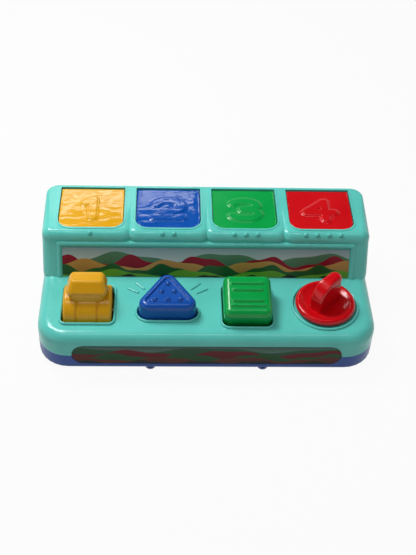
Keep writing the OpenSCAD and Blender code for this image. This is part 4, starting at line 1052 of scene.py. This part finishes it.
class TOY_OT_rocker(bpy.types.Operator):
    """Click rocker: a rounded square cap with four grip ribs"""
    bl_idname = "toy.rocker"
    bl_label = "Click rocker"

    def execute(self, context):
        m = materials()
        cap = mesh_object("click_rocker_cap", [rocker_skin()], 50)
        dress(thicken(cap, 2.4), "rocker", m["green"], "green_plastic", "click_rocker")
        return {"FINISHED"}


def rocker_skin():
    """Rounded square drawn in row by row: upright side, round edge and the ribbed top.

    Each rib is a round bar sunk in the top by 0.7 mm, with a small ramped foot.
    """
    r, top = ROCKER_R, ROCKER_TOP
    shape = outline(box_corners(ROCKER_W, ROCKER_D, r, 0, ROCKER_MIDDLE), r, 14, 90)
    depth = np.linspace(r + 0.2, r + shape[4], 48)
    rows = np.vstack([[(0, -4.9), (0, 4), (0, 12)], quarter(0, top, r, 20),
                      np.stack([depth, np.full(48, top)], 1)])
    points = capped(shape, rows)
    flat = rows[:, :1] > 4.5
    for y, half in RIBS:
        d = line_distance(points[..., :2], [(-half, y)], [(half, y)])
        lift = np.sqrt(np.clip(RIB_R ** 2 - d ** 2, 0, None)) - 0.7
        foot = 0.2 * (1 - ramp(d, 1.6, 2.5))
        points[..., 2] += np.where(flat, np.maximum(lift, foot), 0)
    points = tilted(points, ROCKER_TILT, ROCKER_Y, AXLE_Z)
    points[..., 0] += STATION_X[2]
    return patch(points, wrap_cols=True)


class TOY_OT_knob(bpy.types.Operator):
    """Twist knob: a dish with a rolled rim and a standing fin"""
    bl_idname = "toy.knob"
    bl_label = "Twist knob"

    def execute(self, context):
        m = materials()
        skins = [knob_disc(), turned([[5.2, KNOB_BASE + 0.02], [0, KNOB_BASE + 0.02]], 180),
                 knob_fin()]
        parts = [patch(points + (STATION_X[3], KNOB_Y, 0), wrap_cols=True) for points in skins]
        knob = mesh_object("twist_knob_dish", parts, 45)
        dress(knob, "knob", m["red"], "red_plastic", "twist_knob")
        return {"FINISHED"}


def knob_disc():
    """Underside, rolled rim and dish turned about Z; the dish rises as r to the fifth power."""
    path, tube_r = KNOB_RIM
    a = np.linspace(np.radians(-35), np.radians(115), 30)
    rim = np.stack([path + tube_r * np.cos(a), KNOB_BASE + 2.4 + tube_r * np.sin(a)], 1)
    r = np.linspace(KNOB_DISH_R, 0, 44)
    dish = np.stack([r, KNOB_BASE + 2.3 + 3.18 * (r / 22.66) ** 5], 1)
    return turned(np.vstack([[[5.2, KNOB_BASE + 0.02], [26.1, KNOB_BASE]], rim, dish]), 180)


def round_off(height, reach):
    """How far a quarter circle of unit size has turned in, at height out of reach."""
    return 1 - np.sqrt(np.clip(1 - (np.clip(height, 0, None) / reach) ** 2, 0, 1))


def knob_fin():
    """Fin as a stack of slots, round at the far end and square at the near end.

    The far end is nearly upright. The near end stands upright to FIN_BEND and then
    follows a quarter of an ellipse back to the top. It flares where it meets the dish.
    """
    top, edge, foot = FIN_TOP, FIN_EDGE, KNOB_BASE + 1.2
    a = np.linspace(0, np.pi / 2, 16)[1:]
    z = np.concatenate([np.linspace(foot, KNOB_BASE + 6, 14),
                        np.linspace(KNOB_BASE + 7, top - edge, 30),
                        top - edge + edge * np.sin(a), [top]])
    flare = 1.1 * np.exp(-(z - foot) / 1.6)
    down = np.clip((top - edge - z) / (top - edge - foot), 0, None)
    r = FIN_HALF + 0.2 * down + flare - edge * round_off(z - top + edge, edge)
    r[-1] = 0
    far = 10.2 + 0.6 * down
    near = 14.4 - 19.0 * round_off(z - FIN_BEND, top - FIN_BEND)
    t = np.linspace(0, np.pi, 33)
    ring = np.stack([np.cos(t), np.sin(t)], 1)
    square = ring / ((np.abs(ring) ** 7).sum(1) ** (1 / 7))[:, None]
    r, far, near, flare, z = (v[:, None] for v in (r, far, near, flare, z))
    x = np.concatenate([r * ring[:, 0], -r * square[:, 0]], 1) - FIN_SIDE
    y = np.concatenate([far + r * ring[:, 1], 5 - near - (5 + 0.7 * flare) * square[:, 1]], 1)
    c, s = math.cos(math.radians(FIN_TURN)), math.sin(math.radians(FIN_TURN))
    return np.stack([x * c - y * s, x * s + y * c, z + 0 * x], -1)


# ---------- inner works ----------

STEEL_NODES = ("housing_screws", "tray_screws", "hinge_pins", "lever_axle", "rocker_axle",
               "knob_clip")


def works_finish(node):
    """Name of the finish of an inner node, or None for a node that is dressed elsewhere."""
    if "spring" in node:
        return "spring"
    if node in STEEL_NODES:
        return "steel"
    if node.startswith(("latch", "catch", "pocket")) or node == "knob_shaft":
        return "white"
    return None


class TOY_OT_works(bpy.types.Operator):
    """Screws, pins, springs, latches and compartments"""
    bl_idname = "toy.works"
    bl_label = "Inner works"

    def execute(self, context):
        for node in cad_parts:
            if works_finish(node):
                coat(node, works_finish(node))
        return {"FINISHED"}


# ---------- stage ----------

FLOOR_HALF = 3000
FLOOR_DROP = 0.05

# Lamps: name, place, aim, size and power in watts. The key stands behind the toy's left;
# the strips behind it draw the bright lines in the rippled lids
MIDDLE = (0, 0, 40)
LIDS = (-70, 40, 80)
LAMPS = (
    ("key_softbox", (-420, 330, 880), MIDDLE, (340, 340), 7.3),
    ("fill_softbox", (600, -700, 500), MIDDLE, (500, 400), 0.2),
    ("rear_softbox", (-360, 760, 720), LIDS, (420, 300), 0.08),
    ("rear_strip_1", (-165, 760, 624), LIDS, (370, 20), 0.2),
    ("rear_strip_2", (-165, 760, 680), LIDS, (370, 20), 0.2),
    ("overhead_strip", (-90, -130, 1050), (-40, -40, 40), (900, 60), 1.5),
)

# Camera: angles in degrees, the point it looks at and its distance in millimetres, and its
# focal length and picture height in pixels of the photograph
VIEW_DOWN = 44.36
VIEW_YAW = 3.39
VIEW_ROLL = 2.82
VIEW_AIM = (1.13, -14.3, 53.0)
VIEW_DISTANCE = 910.41
FOCAL_PIXELS = 985
PICTURE_H = 555
SENSOR_H = 36.0


def lamp(name, place, aim, size, power):
    """White rectangular lamp that looks at a point; places and sizes in millimetres."""
    data = bpy.data.lights.new(name, "AREA")
    data.shape = "RECTANGLE"
    data.size, data.size_y = size[0] * MM, size[1] * MM
    data.energy = power
    obj = bpy.data.objects.new(name, data)
    bpy.context.scene.collection.objects.link(obj)
    place, aim = np.array(place) * MM, np.array(aim) * MM
    z = (place - aim) / np.linalg.norm(place - aim)
    x = np.cross([0, 0, 1.0] if abs(z[2]) < 0.99 else [0, 1.0, 0], z)
    x /= np.linalg.norm(x)
    obj.matrix_world = standing(x, np.cross(z, x), z, place)


def standing(x, y, z, place):
    """Matrix of an object from the directions of its axes and its place in metres."""
    m = np.eye(4)
    m[:3] = np.stack([x, y, z, place], 1)
    return Matrix(m.tolist())


def studio_floor():
    """Pale paper that shows near white, and still takes some of the toy's shadow."""
    corners = np.array([[(-1, -1, 0), (1, -1, 0)], [(-1, 1, 0), (1, 1, 0)]], float)
    floor = mesh_object("floor", [patch(corners * FLOOR_HALF - (0, 0, FLOOR_DROP))], 30, weld=False)
    material, tree, out = bare("pale_studio_floor")
    paper = add(tree, "ShaderNodeBsdfPrincipled",
                {"Base Color": paint("#CFCFCD"), "Roughness": 0.9})
    glow = add(tree, "ShaderNodeEmission", {"Strength": 1.0})
    share = add(tree, "ShaderNodeMath", {"operation": "MULTIPLY", 1: 0.94}, n0=shown_rays(tree))
    blend = add(tree, "ShaderNodeMixShader", {}, n0=share.outputs[0],
                n1=paper.outputs["BSDF"], n2=glow.outputs["Emission"])
    tree.links.new(blend.outputs["Shader"], out.inputs["Surface"])
    floor.data.materials.append(material)


def pale_surround(scene):
    """Even soft light; shown rays see white at the horizon and a dark ceiling higher up."""
    world = bpy.data.worlds.new("pale surround")
    scene.world = world
    world.use_nodes = True
    tree = world.node_tree
    tree.nodes.clear()
    way = add(tree, "ShaderNodeTexCoord")
    height = add(tree, "ShaderNodeSeparateXYZ", {}, Vector=way.outputs["Object"])
    ceiling = add(tree, "ShaderNodeMapRange",
                  {"From Min": 0.22, "From Max": 0.50, "To Min": 1.0, "To Max": 0.03},
                  Value=height.outputs["Z"])
    strength = add(tree, "ShaderNodeMix", {"data_type": "FLOAT", 2: 0.27}, n0=shown_rays(tree),
                   n3=ceiling.outputs["Result"])
    sky = add(tree, "ShaderNodeBackground", {"Color": (1, 1, 1, 1)},
              Strength=strength.outputs[0])
    out = tree.nodes.new("ShaderNodeOutputWorld")
    tree.links.new(sky.outputs["Background"], out.inputs["Surface"])


def photo_camera(scene):
    """The photograph's camera, worked out from the outlines that it shows.

    It looks down by el and to the right by yaw, and is turned by roll about its own axis.
    """
    el, yaw, roll = map(math.radians, (VIEW_DOWN, VIEW_YAW, VIEW_ROLL))
    ahead = np.array([math.sin(yaw) * math.cos(el), math.cos(yaw) * math.cos(el), -math.sin(el)])
    right = np.array([math.cos(yaw), -math.sin(yaw), 0.0])
    up = np.cross(right, ahead)
    data = bpy.data.cameras.new("view")
    data.sensor_fit = "VERTICAL"
    data.sensor_height, data.sensor_width = SENSOR_H, 27.0
    data.lens = FOCAL_PIXELS / PICTURE_H * SENSOR_H
    data.clip_start, data.clip_end = 0.01, 20
    camera = bpy.data.objects.new("view", data)
    scene.collection.objects.link(camera)
    camera.matrix_world = standing(
        right * math.cos(roll) + up * math.sin(roll), up * math.cos(roll) - right * math.sin(roll),
        -ahead, (np.array(VIEW_AIM) - ahead * VIEW_DISTANCE) * MM)
    scene.camera = camera


class TOY_OT_stage(bpy.types.Operator):
    """Floor, soft lamps, pale surround and the camera"""
    bl_idname = "toy.stage"
    bl_label = "Stage and camera"

    def execute(self, context):
        context.scene.view_settings.view_transform = "Standard"
        studio_floor()
        pale_surround(context.scene)
        for name, place, aim, size, power in LAMPS:
            lamp(name, place, aim, size, power)
        photo_camera(context.scene)
        return {"FINISHED"}


class TOY_PT_panel(bpy.types.Panel):
    """Sizes, colours and pieces of the toy"""
    bl_idname = "TOY_PT_panel"
    bl_label = "Pop up toy"
    bl_space_type = "VIEW_3D"
    bl_region_type = "UI"
    bl_category = "Pop up toy"

    def draw(self, context):
        for group in (context.scene.toy_colours, context.scene.toy_sizes):
            box = self.layout.box()
            for key in group.__annotations__:
                box.prop(group, key)
        for operator in OPERATORS:
            self.layout.operator(operator.bl_idname)


OPERATORS = (TOY_OT_stage, TOY_OT_shell, TOY_OT_tray, TOY_OT_panels, TOY_OT_lids, TOY_OT_animals,
             TOY_OT_lever, TOY_OT_button, TOY_OT_rocker, TOY_OT_knob, TOY_OT_works)
CLASSES = (TOY_PG_colours, TOY_PG_sizes, *OPERATORS, TOY_PT_panel)


def register():
    """Registers the classes and puts the two groups on the scene."""
    for cls in CLASSES:
        bpy.utils.register_class(cls)
    bpy.types.Scene.toy_colours = PointerProperty(type=TOY_PG_colours)
    bpy.types.Scene.toy_sizes = PointerProperty(type=TOY_PG_sizes)


def unregister():
    """Takes the groups and the classes away again."""
    del bpy.types.Scene.toy_sizes
    del bpy.types.Scene.toy_colours
    for cls in reversed(CLASSES):
        bpy.utils.unregister_class(cls)


def main():
    """Runs every operator in order."""
    register()
    for operator in OPERATORS:
        group, name = operator.bl_idname.split(".")
        getattr(getattr(bpy.ops, group), name)()


if __name__ == "__main__":
    main()
